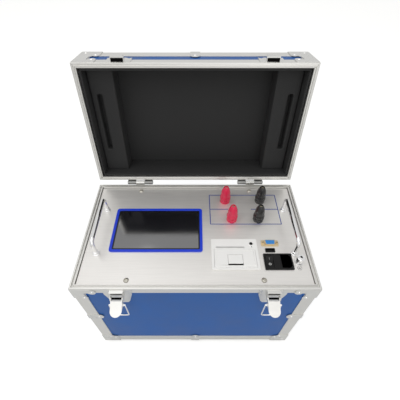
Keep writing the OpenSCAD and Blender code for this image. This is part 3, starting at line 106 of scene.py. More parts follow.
class Bench:
    """The modelling moves that the sub-assemblies share, each made with Blender's own operators.

    Corner steps are the facets of a rounded corner. Edges turn more than the sharp angle, and faces
    that turn less than the flat angle are dissolved into one. Corners closer than the weld, in
    millimetres, are merged.
    """

    CORNER_STEPS = 8
    SHARP_ANGLE = 32
    FLAT_ANGLE = 1.0
    WELD = 0.002

    @staticmethod
    def clear() -> None:
        """Leaves edit mode and deselects everything."""
        if bpy.context.object and bpy.context.object.mode != "OBJECT":
            bpy.ops.object.mode_set(mode="OBJECT")
        bpy.ops.object.select_all(action="DESELECT")

    @staticmethod
    def pick(piece: Object) -> None:
        """Makes one object the only selected one, and active.

        Args:
            piece: the object.
        """
        Bench.clear()
        piece.select_set(True)
        bpy.context.view_layer.objects.active = piece

    @staticmethod
    def settle(piece: Object) -> Object:
        """Moves an object's place, turn and scale into its mesh.

        Args:
            piece: the object.

        Returns:
            The same object.
        """
        Bench.pick(piece)
        bpy.ops.object.transform_apply(location=True, rotation=True, scale=True)
        return piece

    @staticmethod
    def named(name: str) -> Object:
        """Names the active object and its mesh.

        Args:
            name: the name of both.

        Returns:
            The active object.
        """
        piece = bpy.context.object
        piece.name = name
        piece.data.name = name
        return piece

    @staticmethod
    def block(name: str, low: Point, high: Point) -> Object:
        """A block between two corners.

        Args:
            name: the object's name.
            low: the lowest corner, in millimetres.
            high: the highest corner, in millimetres.

        Returns:
            The new object, settled.
        """
        first, last = mm(*low), mm(*high)
        Bench.clear()
        bpy.ops.mesh.primitive_cube_add(size=1, location=(first + last) / 2)
        piece = Bench.named(name)
        piece.scale = last - first
        return Bench.settle(piece)

    @staticmethod
    def turned(name: str, base: Point, rings: Sequence[Pair], sides: int) -> Object:
        """An upright turned shape, raised ring by ring from its foot.

        Args:
            name: the object's name.
            base: the middle of its foot, in millimetres.
            rings: radius and height over the base of each ring, from the foot up, in millimetres.
            sides: how many facets it has.

        Returns:
            The new object, settled and closed at both ends.
        """
        Bench.clear()
        x, y, z = base
        radius, height = rings[0]
        bpy.ops.mesh.primitive_circle_add(
            vertices=sides, radius=radius * MM, fill_type="NGON", location=mm(x, y, z + height)
        )
        piece = Bench.settle(Bench.named(name))
        bpy.ops.object.mode_set(mode="EDIT")
        bpy.ops.mesh.select_all(action="SELECT")
        for next_radius, next_height in rings[1:]:
            rise = (next_height - height) * MM
            bpy.ops.mesh.extrude_region_move(TRANSFORM_OT_translate={"value": (0, 0, rise)})
            share = next_radius / radius
            middle = mm(x, y, z + next_height)
            bpy.ops.transform.resize(value=(share, share, 1), center_override=middle)
            radius, height = next_radius, next_height
        bpy.ops.mesh.select_all(action="SELECT")
        bpy.ops.mesh.normals_make_consistent(inside=False)
        Bench.clear()
        return piece

    @staticmethod
    def outline(
        name: str, centre: Point, size: Pair, corner: float, line: float, height: float
    ) -> Object:
        """A closed line of even width round a rounded rectangle, as print or a thin frame.

        Args:
            name: the object's name.
            centre: the middle of its lower face, in millimetres.
            size: its outer size along X and Y, in millimetres.
            corner: the radius of its outer corners, in millimetres.
            line: the width of the line, in millimetres.
            height: its height, in millimetres.

        Returns:
            The new object, settled.
        """
        Bench.clear()
        bpy.ops.mesh.primitive_plane_add(size=1, location=mm(*centre))
        piece = Bench.named(name)
        piece.scale = mm(*size, 0) + Vector((0, 0, 1))
        Bench.settle(piece)
        bpy.ops.object.mode_set(mode="EDIT")
        bpy.ops.mesh.select_all(action="SELECT")
        bpy.ops.mesh.bevel(offset=corner * MM, segments=Bench.CORNER_STEPS, affect="VERTICES")
        bpy.ops.mesh.select_all(action="SELECT")
        bpy.ops.mesh.inset(thickness=line * MM, depth=0)
        bpy.ops.mesh.delete(type="FACE")
        bpy.ops.mesh.select_all(action="SELECT")
        bpy.ops.mesh.extrude_region_move(TRANSFORM_OT_translate={"value": (0, 0, height * MM)})
        bpy.ops.mesh.select_all(action="SELECT")
        bpy.ops.mesh.normals_make_consistent(inside=False)
        Bench.clear()
        return piece

    @staticmethod
    def use(piece: Object, kind: str, **settings: object) -> Object:
        """Adds a modifier with its settings and applies it.

        Args:
            piece: the object it shapes.
            kind: the modifier's type.
            settings: the modifier's own values.

        Returns:
            The same object.
        """
        Bench.pick(piece)
        modifier = piece.modifiers.new(kind.title(), kind)
        for key, value in settings.items():
            setattr(modifier, key, value)
        bpy.ops.object.modifier_apply(modifier=modifier.name)
        return piece

    @staticmethod
    def soften(piece: Object, edge: float, segments: int = ROUND_STEPS) -> Object:
        """Rounds the sharp edges of a piece.

        Args:
            piece: the object.
            edge: the width of the rounding, in millimetres.
            segments: how many facets the rounding has.

        Returns:
            The same object.
        """
        return Bench.use(
            piece,
            "BEVEL",
            width=edge * MM,
            segments=segments,
            limit_method="ANGLE",
            angle_limit=math.radians(Bench.SHARP_ANGLE),
            use_clamp_overlap=False,
            miter_outer="MITER_ARC",
        )

    @staticmethod
    def smooth(piece: Object, angle: float = 30) -> Object:
        """Shades a piece smooth.

        Args:
            piece: the object.
            angle: faces that turn more than this stay apart, in degrees.

        Returns:
            The same object.
        """
        Bench.pick(piece)
        bpy.ops.object.shade_smooth_by_angle(angle=math.radians(angle))
        return piece

    @staticmethod
    def carve(piece: Object, cutter: Object) -> Object:
        """Cuts one object with another, which is then removed.

        Args:
            piece: the object that is cut.
            cutter: the object that cuts it.

        Returns:
            The object that was cut.
        """
        Bench.use(piece, "BOOLEAN", object=cutter, operation="DIFFERENCE", solver="EXACT")
        bpy.data.objects.remove(cutter, do_unlink=True)
        return piece

    @staticmethod
    def join(name: str, pieces: Iterable[Object]) -> Object:
        """Joins several objects into one.

        Args:
            name: the name of the joined object.
            pieces: the objects, which are used up.

        Returns:
            The joined object.
        """
        found = list(pieces)
        Bench.pick(found[0])
        for piece in found:
            piece.select_set(True)
        bpy.ops.object.join()
        return Bench.named(name)

    @staticmethod
    def place(piece: Object, matrix: Matrix) -> Object:
        """Moves a piece by a matrix and settles it."""
        piece.matrix_world = matrix @ piece.matrix_world
        return Bench.settle(piece)

    @staticmethod
    def refined(node: str, name: str, edge: Edge, segments: int) -> Object:
        """A merged copy of a CAD node with rounded edges, which is shown in the node's place.

        Args:
            node: the CAD node.
            name: the copy's name.
            edge: how far its edges are rounded.
            segments: how many facets the rounding has.

        Returns:
            The copy.
        """
        source = frame["nodes"][node]
        piece = bpy.data.objects.new(name, source.data.copy())
        piece.data.name = name
        piece.data.materials.clear()
        bpy.context.scene.collection.objects.link(piece)
        Bench.pick(piece)
        bpy.ops.object.mode_set(mode="EDIT")
        bpy.ops.mesh.select_all(action="SELECT")
        bpy.ops.mesh.customdata_custom_splitnormals_clear()
        bpy.ops.mesh.remove_doubles(threshold=Bench.WELD * MM)
        bpy.ops.mesh.dissolve_limited(angle_limit=math.radians(Bench.FLAT_ANGLE))
        Bench.clear()
        if edge is not Edge.AS_MADE:
            Bench.soften(piece, edge.value, segments)
        Bench.smooth(piece)
        return Bench.use(piece, "WEIGHTED_NORMAL", keep_sharp=True)


# Finishes


@dataclass(frozen=True)
class Noise:
    """A noise pattern: its cells in a metre, its layers of detail and how strong the finer ones are."""

    scale: float
    detail: float = 4
    rough: float = 0.5


class Graph:
    """The node tree of one material, with the joins that the finishes share.

    The middle is the range of a noise pattern that is spread over the values asked for.
    """

    MIDDLE: Pair = (0.3, 0.7)

    def __init__(self, name: str) -> None:
        """Starts a material with its Principled shader.

        Args:
            name: the material's name.
        """
        self.material = bpy.data.materials.new(name)
        self.material.use_nodes = True
        self.tree = self.material.node_tree
        self.shader = self.tree.nodes["Principled BSDF"]

    def node(self, kind: str, **values: object) -> bpy.types.Node:
        """Adds a node and sets its own properties.

        Args:
            kind: the node's type.
            values: its properties by name.

        Returns:
            The new node.
        """
        made = self.tree.nodes.new(kind)
        for key, value in values.items():
            setattr(made, key, value)
        return made

    def join(self, source: Socket, target: Socket) -> None:
        """Links two sockets."""
        self.tree.links.new(source, target)

    def coordinates(self, scale: Point = (1, 1, 1)) -> Socket:
        """Reads the piece's own coordinates.

        Args:
            scale: how much they are stretched along each axis.

        Returns:
            The socket with the stretched coordinates.
        """
        place = self.node("ShaderNodeTexCoord")
        mapping = self.node("ShaderNodeMapping")
        mapping.inputs["Scale"].default_value = scale
        self.join(place.outputs["Object"], mapping.inputs["Vector"])
        return mapping.outputs["Vector"]

    def cloud(self, vector: Socket, kind: Noise) -> Socket:
        """Lays a noise pattern over the given coordinates.

        Args:
            vector: the coordinates.
            kind: the pattern's settings.

        Returns:
            The socket with the pattern.
        """
        made = self.node("ShaderNodeTexNoise")
        made.inputs["Scale"].default_value = kind.scale
        made.inputs["Detail"].default_value = kind.detail
        made.inputs["Roughness"].default_value = kind.rough
        self.join(vector, made.inputs["Vector"])
        return made.outputs["Fac"]

    def between(self, value: Socket, low: float, high: float) -> Socket:
        """Spreads a pattern's middle range over numbers.

        Args:
            value: the pattern.
            low: the number at the range's start.
            high: the number at its end.

        Returns:
            The socket with the numbers.
        """
        made = self.node("ShaderNodeMapRange")
        names = ("From Min", "From Max", "To Min", "To Max")
        for name, number in zip(names, (*self.MIDDLE, low, high)):
            made.inputs[name].default_value = number
        self.join(value, made.inputs["Value"])
        return made.outputs["Result"]

    def tint(self, value: Socket, tones: tuple[Color, Color], span: Pair = MIDDLE) -> Socket:
        """Spreads a range of a pattern over two colours.

        Args:
            value: the pattern.
            tones: the colours at the range's start and end.
            span: the range.

        Returns:
            The socket with the colours.
        """
        made = self.node("ShaderNodeValToRGB")
        for stop, place, tone in zip(made.color_ramp.elements, span, tones):
            stop.position = place
            stop.color = (*tone, 1)
        self.join(value, made.inputs["Fac"])
        return made.outputs["Color"]

    def bump(self, height: Socket, depth: float) -> None:
        """Gives the surface a relief.

        Args:
            height: the pattern that it follows.
            depth: its depth, in millimetres.
        """
        made = self.node("ShaderNodeBump")
        made.inputs["Distance"].default_value = depth * MM
        self.join(height, made.inputs["Height"])
        self.join(made.outputs["Normal"], self.shader.inputs["Normal"])


@dataclass(frozen=True)
class Finish:
    """A surface of one colour with slight clouding and a fine grain, as on painted or moulded parts.

    The colour is linear RGB. Shade and wear say how far it and its roughness wander, grain is the
    number of pattern cells in a metre, and relief is the grain's depth in millimetres.
    """

    CLOUDS: ClassVar[Noise] = Noise(14, 5, 0.6)
    GRAIN_LAYERS: ClassVar[float] = 3
    COAT_ROUGH: ClassVar[float] = 0.08

    name: str
    color: Color
    rough: float = 0.5
    metal: float = 0.0
    shade: float = 0.06
    wear: float = 0.06
    grain: float = 900
    relief: float = 0.02
    coat: float = 0.0
    index: float = 1.5
    gloss: float = 0.5
    stretch: Point = (1, 1, 1)

    def tones(self) -> tuple[Color, Color]:
        """Works out how far the colour wanders.

        Returns:
            Its darker and its lighter end.
        """
        low = tuple(c * (1 - self.shade) for c in self.color)
        high = tuple(min(1.0, c * (1 + self.shade)) for c in self.color)
        return low, high

    def build(self) -> bpy.types.Material:
        """Makes the material.

        Returns:
            The new material.
        """
        graph = Graph(self.name)
        shader = graph.shader
        shader.inputs["Metallic"].default_value = self.metal
        shader.inputs["IOR"].default_value = self.index
        shader.inputs["Specular IOR Level"].default_value = self.gloss
        shader.inputs["Coat Weight"].default_value = self.coat
        shader.inputs["Coat Roughness"].default_value = self.COAT_ROUGH
        self.detail(graph)
        return graph.material

    def detail(self, graph: Graph) -> None:
        """Adds the clouding, the worn patches and the grain.

        Args:
            graph: the material's node tree.
        """
        shader = graph.shader
        cloud = graph.cloud(graph.coordinates(), self.CLOUDS)
        graph.join(graph.tint(cloud, self.tones()), shader.inputs["Base Color"])
        grain = graph.cloud(graph.coordinates(self.stretch), Noise(self.grain, self.GRAIN_LAYERS))
        rough = graph.between(cloud, self.rough - self.wear, self.rough + self.wear)
        graph.join(rough, shader.inputs["Roughness"])
        graph.bump(grain, self.relief)


@dataclass(frozen=True)
class Brushed(Finish):
    """Metal with fine lines along one direction, and broad streaks under them.

    The shares say how much of the colour's pattern the lines and the streaks make up.
    """

    FINE_LAYERS: ClassVar[float] = 4
    FINE_ROUGH: ClassVar[float] = 0.65
    STREAKS: ClassVar[Noise] = Noise(6, 3)
    FINE_SHARE: ClassVar[float] = 0.55
    STREAK_SHARE: ClassVar[float] = 0.45
    SPAN: ClassVar[Pair] = (0.35, 0.65)

    lines: float = 0.12

    def detail(self, graph: Graph) -> None:
        """Adds the lines to colour, roughness and relief.

        Args:
            graph: the material's node tree.
        """
        shader = graph.shader
        kind = Noise(self.grain, self.FINE_LAYERS, self.FINE_ROUGH)
        fine = graph.cloud(graph.coordinates(self.stretch), kind)
        broad = graph.cloud(graph.coordinates(), self.STREAKS)
        both = graph.node("ShaderNodeMath", operation="MULTIPLY_ADD")
        both.inputs[1].default_value = self.FINE_SHARE
        graph.join(fine, both.inputs[0])
        streaks = graph.node("ShaderNodeMath", operation="MULTIPLY")
        streaks.inputs[1].default_value = self.STREAK_SHARE
        graph.join(broad, streaks.inputs[0])
        graph.join(streaks.outputs[0], both.inputs[2])
        color = graph.tint(both.outputs[0], self.tones(), self.SPAN)
        graph.join(color, shader.inputs["Base Color"])
        low, high = self.rough - self.lines / 2, self.rough + self.lines / 2
        graph.join(graph.between(fine, low, high), shader.inputs["Roughness"])
        graph.bump(fine, self.relief)


@dataclass(frozen=True)
class Foam(Finish):
    """Closed-cell foam: fine cells, dull, with faint lighter scuffs."""

    SCUFFS: ClassVar[Noise] = Noise(22, 6, 0.7)
    SCUFF_STRETCH: ClassVar[Point] = (1, 1, 0.5)
    SPAN: ClassVar[Pair] = (0.4, 0.72)

    def detail(self, graph: Graph) -> None:
        """Adds the cells and the scuffs.

        Args:
            graph: the material's node tree.
        """
        shader = graph.shader
        cells = graph.node("ShaderNodeTexVoronoi", feature="F1")
        cells.inputs["Scale"].default_value = self.grain
        graph.join(graph.coordinates(), cells.inputs["Vector"])
        scuffs = graph.cloud(graph.coordinates(self.SCUFF_STRETCH), self.SCUFFS)
        graph.join(graph.tint(scuffs, self.tones(), self.SPAN), shader.inputs["Base Color"])
        rough = graph.between(scuffs, self.rough + self.wear, self.rough - self.wear)
        graph.join(rough, shader.inputs["Roughness"])
        graph.bump(cells.outputs["Distance"], self.relief)


class Surface(Enum):
    """Every finish of the tester, each with the slot of the record that it belongs to."""

    LAMINATE = (
        Finish(
            "laminate_blue", (0.022, 0.108, 0.36),
            rough=0.42, shade=0.1, grain=1400, relief=0.01, index=1.25,
        ),
        "blue_laminate",
    )
    EXTRUSION = (
        Brushed(
            "extruded_aluminium", (0.74, 0.73, 0.70),
            rough=0.34, metal=0.85, shade=0.05, grain=400, relief=0.006,
        ),
        "case_aluminium",
    )
    PRESSING = (
        Finish(
            "pressed_steel", (0.72, 0.715, 0.69),
            rough=0.3, metal=0.9, shade=0.06, wear=0.08, grain=260, relief=0.02,
        ),
        "bracket_steel",
    )
    RIVET = (
        Finish(
            "rivet_nickel", (0.84, 0.83, 0.81),
            rough=0.24, metal=1.0, shade=0.05, grain=300, relief=0.01,
        ),
        "rivet_steel",
    )
    LEVER = (
        Finish(
            "lever_nickel", (0.80, 0.79, 0.76),
            rough=0.46, metal=0.8, shade=0.04, grain=300, relief=0.01,
        ),
        "bright_chrome",
    )
    SCREW = (
        Finish(
            "screw_nickel", (0.52, 0.50, 0.44),
            rough=0.3, metal=0.9, shade=0.08, grain=300, relief=0.01,
        ),
        "rivet_steel",
    )
    # Painted shade: dark steel that stands in for the shadow of the gap under the lid between the hinge
    # knuckles.
    HINGE = (
        Finish(
            "hinge_painted_shade", (0.30, 0.30, 0.29),
            rough=0.35, metal=0.8, shade=0.1, grain=300, relief=0.02,
        ),
        "bracket_steel",
    )
    # Painted shade: a black finish for the blocks that stand in for the shade inside the latches and
    # catches.
    SHADE = (
        Finish(
            "painted_shade_black", (0.004, 0.004, 0.004),
            rough=0.8, shade=0.2, grain=600, relief=0.02, gloss=0.02,
        ),
        "bracket_steel",
    )
    FOOT = (
        Finish(
            "foot_rubber", (0.02, 0.02, 0.02),
            rough=0.75, shade=0.2, grain=800, relief=0.03,
        ),
        "foot_rubber",
    )
    SHEET = (
        Brushed(
            "zinc_sheet", (0.6, 0.61, 0.62),
            rough=0.4, metal=0.9, shade=0.1, grain=120, relief=0.01,
        ),
        "rail_steel",
    )
    PANEL = (
        Brushed(
            "brushed_panel", (0.82, 0.80, 0.77),
            rough=0.38, metal=0.6, shade=0.05, grain=700, relief=0.006,
            stretch=(0.03, 1, 1),
        ),
        "panel_aluminium",
    )
    SCREEN_FRAME = (
        Finish(
            "screen_frame_blue", (0.004, 0.045, 0.68),
            rough=0.38, shade=0.05, grain=900, relief=0.008,
        ),
        "frame_blue",
    )
    GLASS = (
        Finish(
            "screen_glass", (0.010, 0.010, 0.013),
            rough=0.09, shade=0.1, wear=0.02, grain=50, relief=0.001, index=2.9,
        ),
        "screen_black",
    )
    MASK = (
        Finish(
            "screen_mask", (0.004, 0.004, 0.005),
            rough=0.3, shade=0.2, grain=700, relief=0.004,
        ),
        "screen_black",
    )
    MODULE = (
        Finish(
            "display_case", (0.3, 0.31, 0.3),
            rough=0.45, metal=0.6, grain=300, relief=0.01,
        ),
        "display_parts",
    )
    CREAM = (
        Finish(
            "printer_cream", (0.97, 0.965, 0.94),
            rough=0.42, shade=0.02, grain=1500, relief=0.012,
        ),
        "printer_white",
    )
    BLACK = (
        Finish(
            "moulded_black", (0.010, 0.010, 0.010),
            rough=0.36, shade=0.2, grain=1500, relief=0.02, gloss=0.2,
        ),
        "black_plastic",
    )
    PIN = (
        Finish(
            "contact_brass", (0.93, 0.86, 0.68),
            rough=0.34, metal=0.35, grain=600, relief=0.005,
        ),
        "brass_contacts",
    )
    SHELL = (
        Finish(
            "connector_gold", (0.60, 0.47, 0.30),
            rough=0.35, metal=0.7, grain=700, relief=0.008,
        ),
        "connector_gold",
    )
    INSERT = (
        Finish(
            "connector_blue", (0.02, 0.27, 0.62),
            rough=0.4, shade=0.08, grain=900, relief=0.01,
        ),
        "connector_blue",
    )
    RED = (
        Finish(
            "terminal_red", (1.0, 0.0, 0.045),
            rough=0.26, shade=0.06, grain=700, relief=0.01, gloss=0.1,
        ),
        "terminal_red",
    )
    JET = (
        Finish(
            "terminal_black", (0.005, 0.005, 0.0055),
            rough=0.3, shade=0.3, grain=700, relief=0.01, gloss=0.1,
        ),
        "terminal_black",
    )
    CHROME = (
        Finish(
            "polished_chrome", (0.86, 0.86, 0.86),
            rough=0.09, metal=1.0, shade=0.02, wear=0.03, grain=200, relief=0.002,
        ),
        "bright_chrome",
    )
    GRIP = (
        Finish(
            "grip_coating", (0.016, 0.016, 0.017),
            rough=0.6, shade=0.2, grain=600, relief=0.03,
        ),
        "grip_rubber",
    )
    IRON = (
        Finish(
            "laminated_iron", (0.12, 0.1, 0.08),
            rough=0.6, metal=0.3, grain=900, relief=0.08, stretch=(1, 0.05, 0.05),
        ),
        "transformer_iron",
    )
    SINK = (
        Brushed(
            "sink_aluminium", (0.55, 0.55, 0.56),
            rough=0.45, metal=0.9, grain=200, relief=0.01,
        ),
        "sink_aluminium",
    )
    BOARD = (
        Finish(
            "circuit_board", (0.02, 0.16, 0.06),
            rough=0.45, shade=0.2, grain=300, relief=0.02,
        ),
        "board_green",
    )
    FOAM = (
        Foam(
            "lid_foam", (0.0056, 0.0055, 0.0046),
            rough=0.85, shade=0.3, wear=0.1, grain=2200, relief=0.12, gloss=0.02,
        ),
        "lid_foam",
    )
    PAPER = (
        Finish(
            "roll_paper", (0.85, 0.85, 0.82),
            rough=0.85, shade=0.02, grain=800, relief=0.01,
        ),
        "paper_white",
    )
    PRINT_BLUE = (
        Finish(
            "printed_blue", (0.018, 0.05, 0.30),
            rough=0.5, shade=0.08, grain=900, relief=0.003,
        ),
        "panel_aluminium",
    )
    PRINT_GREY = (
        Finish(
            "printed_grey", (0.08, 0.08, 0.085),
            rough=0.5, shade=0.1, grain=900, relief=0.003,
        ),
        "panel_aluminium",
    )
    MARK_WHITE = (
        Finish(
            "moulded_white", (0.78, 0.78, 0.76),
            rough=0.45, shade=0.03, grain=900, relief=0.003,
        ),
        "black_plastic",
    )
    MARK_GREY = (
        Finish(
            "moulded_grey", (0.22, 0.22, 0.22),
            rough=0.45, shade=0.03, grain=900, relief=0.003,
        ),
        "black_plastic",
    )
    LAMP = (
        Finish(
            "indicator_lens", (0.10, 0.16, 0.09),
            rough=0.2, shade=0.1, grain=400, relief=0.002, coat=0.5,
        ),
        "printer_white",
    )

    @property
    def material(self) -> bpy.types.Material:
        """The material, made when it is first asked for."""
        finish = self.value[0]
        return bpy.data.materials.get(finish.name) or finish.build()

    @property
    def slot(self) -> str:
        """The record's material slot."""
        return self.value[1]


# Sub-assemblies


@dataclass
class Assembly:
    """What every sub-assembly can do: keep a node, refine a node, or fit a piece of its own."""

    made: list[Object] = field(default_factory=list)

    def keep(self, node: str, surface: Surface) -> Object:
        """Leaves a CAD node as it is, with a better material.

        Args:
            node: the CAD node.
            surface: its finish.

        Returns:
            The node's object.
        """
        piece = frame["nodes"][node]
        piece.data.materials.clear()
        piece.data.materials.append(surface.material)
        self.made.append(piece)
        return piece

    def refine(self, node: str, surface: Surface, edge: Edge, segments: int = ROUND_STEPS) -> Object:
        """Shows a copy of a CAD node with rounded edges and smooth curves.

        Args:
            node: the CAD node.
            surface: its finish.
            edge: how far its edges are rounded.
            segments: how many facets the rounding has.

        Returns:
            The piece that stands for the node.
        """
        piece = Bench.refined(node, node + ".finished", edge, segments)
        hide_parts(node)
        return self.fit(piece, surface, frame["nodes"][node]["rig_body"])

    def fit(self, piece: Object, surface: Surface, body: str) -> Object:
        """Gives a piece its finish and lets it move with a body.

        Args:
            piece: a finished piece, in its place.
            surface: its finish.
            body: the CAD body that it rides on.

        Returns:
            The same object.
        """
        piece.data.materials.clear()
        piece.data.materials.append(surface.material)
        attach(piece, body)
        self.made.append(piece)
        return piece

    def build(self) -> None:
        """Makes and dresses the pieces."""
        raise NotImplementedError


@dataclass
class Shell(Assembly):
    """Boards, extrusions, brackets, rivets and feet of base and lid."""

    def build(self) -> None:
        """Dresses the shell's nodes."""
        for node in ("base_wall_boards", "base_floor_board", "lid_boards"):
            self.keep(node, Surface.LAMINATE)
        for node in ("base_rim_frame", "lid_rim_frame", "base_edge_trims", "lid_edge_trims"):
            self.refine(node, Surface.EXTRUSION, Edge.EXTRUDED)
        for node in ("base_brackets", "lid_brackets"):
            self.refine(node, Surface.PRESSING, Edge.PRESSED)
        for node in ("base_rivets", "lid_rivets"):
            self.refine(node, Surface.RIVET, Edge.AS_MADE)
        self.refine("rubber_feet", Surface.FOOT, Edge.FULL)


@dataclass
class LidFoam(Assembly):
    """The lid's foam lining and its two slit blocks.

    They are modelled with the lid closed and then turned open. The opening and the two angles are in
    degrees. The blocks' faces wander by the swell, in so many waves in a metre, and mostly inward.
    """

    opening: float = 98
    pivot: Point = (0, 122, 268.2)
    outer: Pair = (191.5, 106.5)
    rim: float = 271.5
    back: float = 330.2
    wall: float = 3.8
    sheet: float = 6.0
    block_in: float = 141.0
    block_front: float = 102.3
    block_back: float = 103.0
    block_low: float = 290.4
    slit_x: float = 171.5
    slit_half: float = 55.25
    slit_y: float = -1.0
    slit_w: float = 9.0
    slit_top: float = 307.0
    slit_run_out: float = 5
    side_gap: float = 2.0
    overlap: float = 0.5
    strip_edge: float = 0.9
    block_edge: float = 1.4
    waves: float = 28
    inward: float = 0.6
    cell: float = 1.6
    swell: float = 0.5
    seed: float = 3.0
    strip_angle: float = 50
    block_angle: float = 60

    def turn(self) -> Matrix:
        """The movement that opens the lid."""
        hinge = Matrix.Translation(mm(*self.pivot))
        return hinge @ Matrix.Rotation(math.radians(-self.opening), 4, "X") @ hinge.inverted()

    def cushion(self, piece: Object, side: int) -> Object:
        """Divides a foam block finely, rounds it and makes its faces slightly uneven.

        Args:
            piece: a plain foam block.
            side: -1 for the left block, 1 for the right one, each with its own part of the noise.

        Returns:
            The same object.
        """
        Bench.soften(piece, self.block_edge, FULL_STEPS)
        Bench.use(piece, "REMESH", mode="VOXEL", voxel_size=self.cell * MM)
        start = self.seed * side
        for vertex in piece.data.vertices:
            place = vertex.co * self.waves + Vector((start, start, start))
            vertex.co += vertex.normal * (noise.noise(place) - self.inward) * self.swell * MM
        return Bench.smooth(piece, self.block_angle)

    def lining(self) -> Object:
        """Models the four strips and the sheet behind them.

        Returns:
            The lining, as one object.
        """
        x, y = self.outer
        deep = self.back - self.sheet
        end = deep + self.overlap
        sheets = [
            Bench.block("foam_sheet", (-x, -y, deep), (x, y, self.back)),
            Bench.block("foam_front", (-x, -y, self.rim), (x, -y + self.wall, end)),
            Bench.block("foam_rear", (-x, y - self.wall, self.rim), (x, y, end)),
        ]
        for side in (-1, 1):
            low, high = sorted((side * x, side * (x - self.wall)))
            sheets.append(Bench.block("foam_side", (low, -y, self.rim), (high, y, end)))
        for strip in sheets:
            Bench.soften(strip, self.strip_edge)
        return Bench.join("foam_lining", sheets)

    def block(self, side: int) -> Object:
        """Models one block with its slit for the panel handle.

        Args:
            side: -1 for the left block, 1 for the right one.

        Returns:
            The block.
        """
        outer = self.outer[0] - self.wall - self.side_gap
        low, high = sorted((side * self.block_in, side * outer))
        first = (low, -self.block_front, self.block_low)
        last = (high, self.block_back, self.back - self.sheet)
        piece = Bench.block("foam_block", first, last)
        middle, half = side * self.slit_x, self.slit_w / 2
        start = (middle - half, self.slit_y - self.slit_half, self.block_low - self.slit_run_out)
        end = (middle + half, self.slit_y + self.slit_half, self.slit_top)
        return Bench.carve(piece, Bench.block("foam_slit", start, end))

    def build(self) -> None:
        lining = Bench.smooth(self.lining(), self.strip_angle)
        Bench.place(lining, self.turn())
        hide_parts("lid_foam_lining")
        self.fit(lining, Surface.FOAM, "lid")
        for side, name in SIDES:
            piece = self.cushion(self.block(side), side)
            piece.name = f"foam_block_{name}"
            Bench.place(piece, self.turn())
            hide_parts("lid_foam_blocks")
            self.fit(piece, Surface.FOAM, "lid")


@dataclass
class ControlPanel(Assembly):
    """The panel plate with its screws, rails and printed lines."""

    face: float = 265.0
    ink: float = 0.06
    box_middle: Pair = (95.5, 50.9)
    box_size: Pair = (135.0, 75.4)
    box_corner: float = 0.8
    line: float = 1.6
    mid_y: float = 50.3
    mid_spans: tuple[Pair, ...] = ((28.6, 64.3), (109.3, 162.4))
    earth: Pair = (174.7, -77.6)
    ring_size: Pair = (7.6, 7.6)
    ring_corner: float = 3.75
    ring_line: float = 0.45
    stem_half: float = 0.2
    stem_length: float = 2.6
    bar_halves: Point = (2.3, 1.5, 0.7)
    bar_pitch: float = 0.9
    bar_line: float = 0.4

    def bar(self, name: str, low: Pair, high: Pair) -> Object:
        """A printed bar between two corners on the panel."""
        return Bench.block(name, (*low, self.face), (*high, self.face + self.ink))

    def terminal_box(self) -> Object:
        """Prints the box round the terminals, with its broken middle line.

        Returns:
            The printed lines, as one object.
        """
        place = (*self.box_middle, self.face)
        parts = [Bench.outline("box_line", place, self.box_size, self.box_corner, self.line, self.ink)]
        low, high = self.mid_y - self.line / 2, self.mid_y + self.line / 2
        for start, end in self.mid_spans:
            parts.append(self.bar("mid_line", (start, low), (end, high)))
        return Bench.join("printed_terminal_box", parts)

    def earth_mark(self) -> Object:
        """Prints the usual sign for protective earth: three bars under a stem, in a ring.

        Returns:
            The sign, as one object.
        """
        x, y = self.earth
        place = (x, y, self.face)
        ring = (self.ring_size, self.ring_corner, self.ring_line)
        low, high = (x - self.stem_half, y), (x + self.stem_half, y + self.stem_length)
        parts = [
            Bench.outline("earth_ring", place, *ring, self.ink),
            self.bar("earth_stem", low, high),
        ]
        for row, half in enumerate(self.bar_halves):
            top = y - row * self.bar_pitch
            parts.append(self.bar("earth_bar", (x - half, top - self.bar_line), (x + half, top)))
        return Bench.join("printed_earth_mark", parts)

    def build(self) -> None:
        """Dresses the panel and prints its lines."""
        self.refine("control_panel", Surface.PANEL, Edge.PLAIN)
        self.refine("panel_screws", Surface.SCREW, Edge.CRISP)
        self.keep("panel_rails", Surface.SHEET)
        self.fit(self.terminal_box(), Surface.PRINT_BLUE, "case")
        self.fit(self.earth_mark(), Surface.PRINT_GREY, "case")


@dataclass
class Display(Assembly):
    """The touch screen in its blue frame."""

    middle: Pair = (-69.15, 1.8)
    glass_top: float = 266.0
    glass_size: Pair = (154.1, 86.9)
    mask_corner: float = 1.8
    mask_line: float = 2.2
    mask_height: float = 0.05

    def build(self) -> None:
        """Dresses the screen and lays its black border on the glass."""
        self.refine("screen_frame", Surface.SCREEN_FRAME, Edge.FULL, FULL_STEPS)
        self.refine("touch_screen", Surface.GLASS, Edge.FINE)
        place = (*self.middle, self.glass_top)
        mask = Bench.outline(
            "screen_mask", place, self.glass_size, self.mask_corner, self.mask_line, self.mask_height
        )
        self.fit(mask, Surface.MASK, "case")
        self.keep("display_module", Surface.MODULE)


@dataclass
class Printer(Assembly):
    """The strip printer: bezel, door, latch, feed button, lamp and roll."""

    bezel_top: float = 267.6
    lamp_at: Pair = (99.0, -37.6)
    lamp_sunk: float = 0.2
    lamp_rings: tuple[Pair, ...] = ((0.9, 0), (0.9, 0.25), (0.75, 0.5), (0.4, 0.65))
    lamp_sides: int = 24

    def build(self) -> None:
        """Dresses the printer and sets its lamp."""
        self.refine("printer_housing", Surface.CREAM, Edge.BEZEL, FULL_STEPS)
        self.refine("printer_door", Surface.CREAM, Edge.PLAIN)
        self.refine("printer_latch", Surface.CREAM, Edge.PLAIN)
        self.refine("feed_button", Surface.BLACK, Edge.PLAIN)
        self.refine("paper_roll", Surface.PAPER, Edge.MOULDED)
        foot = (*self.lamp_at, self.bezel_top - self.lamp_sunk)
        lamp = Bench.turned("printer_lamp", foot, self.lamp_rings, self.lamp_sides)
        self.fit(Bench.smooth(lamp), Surface.LAMP, "case")


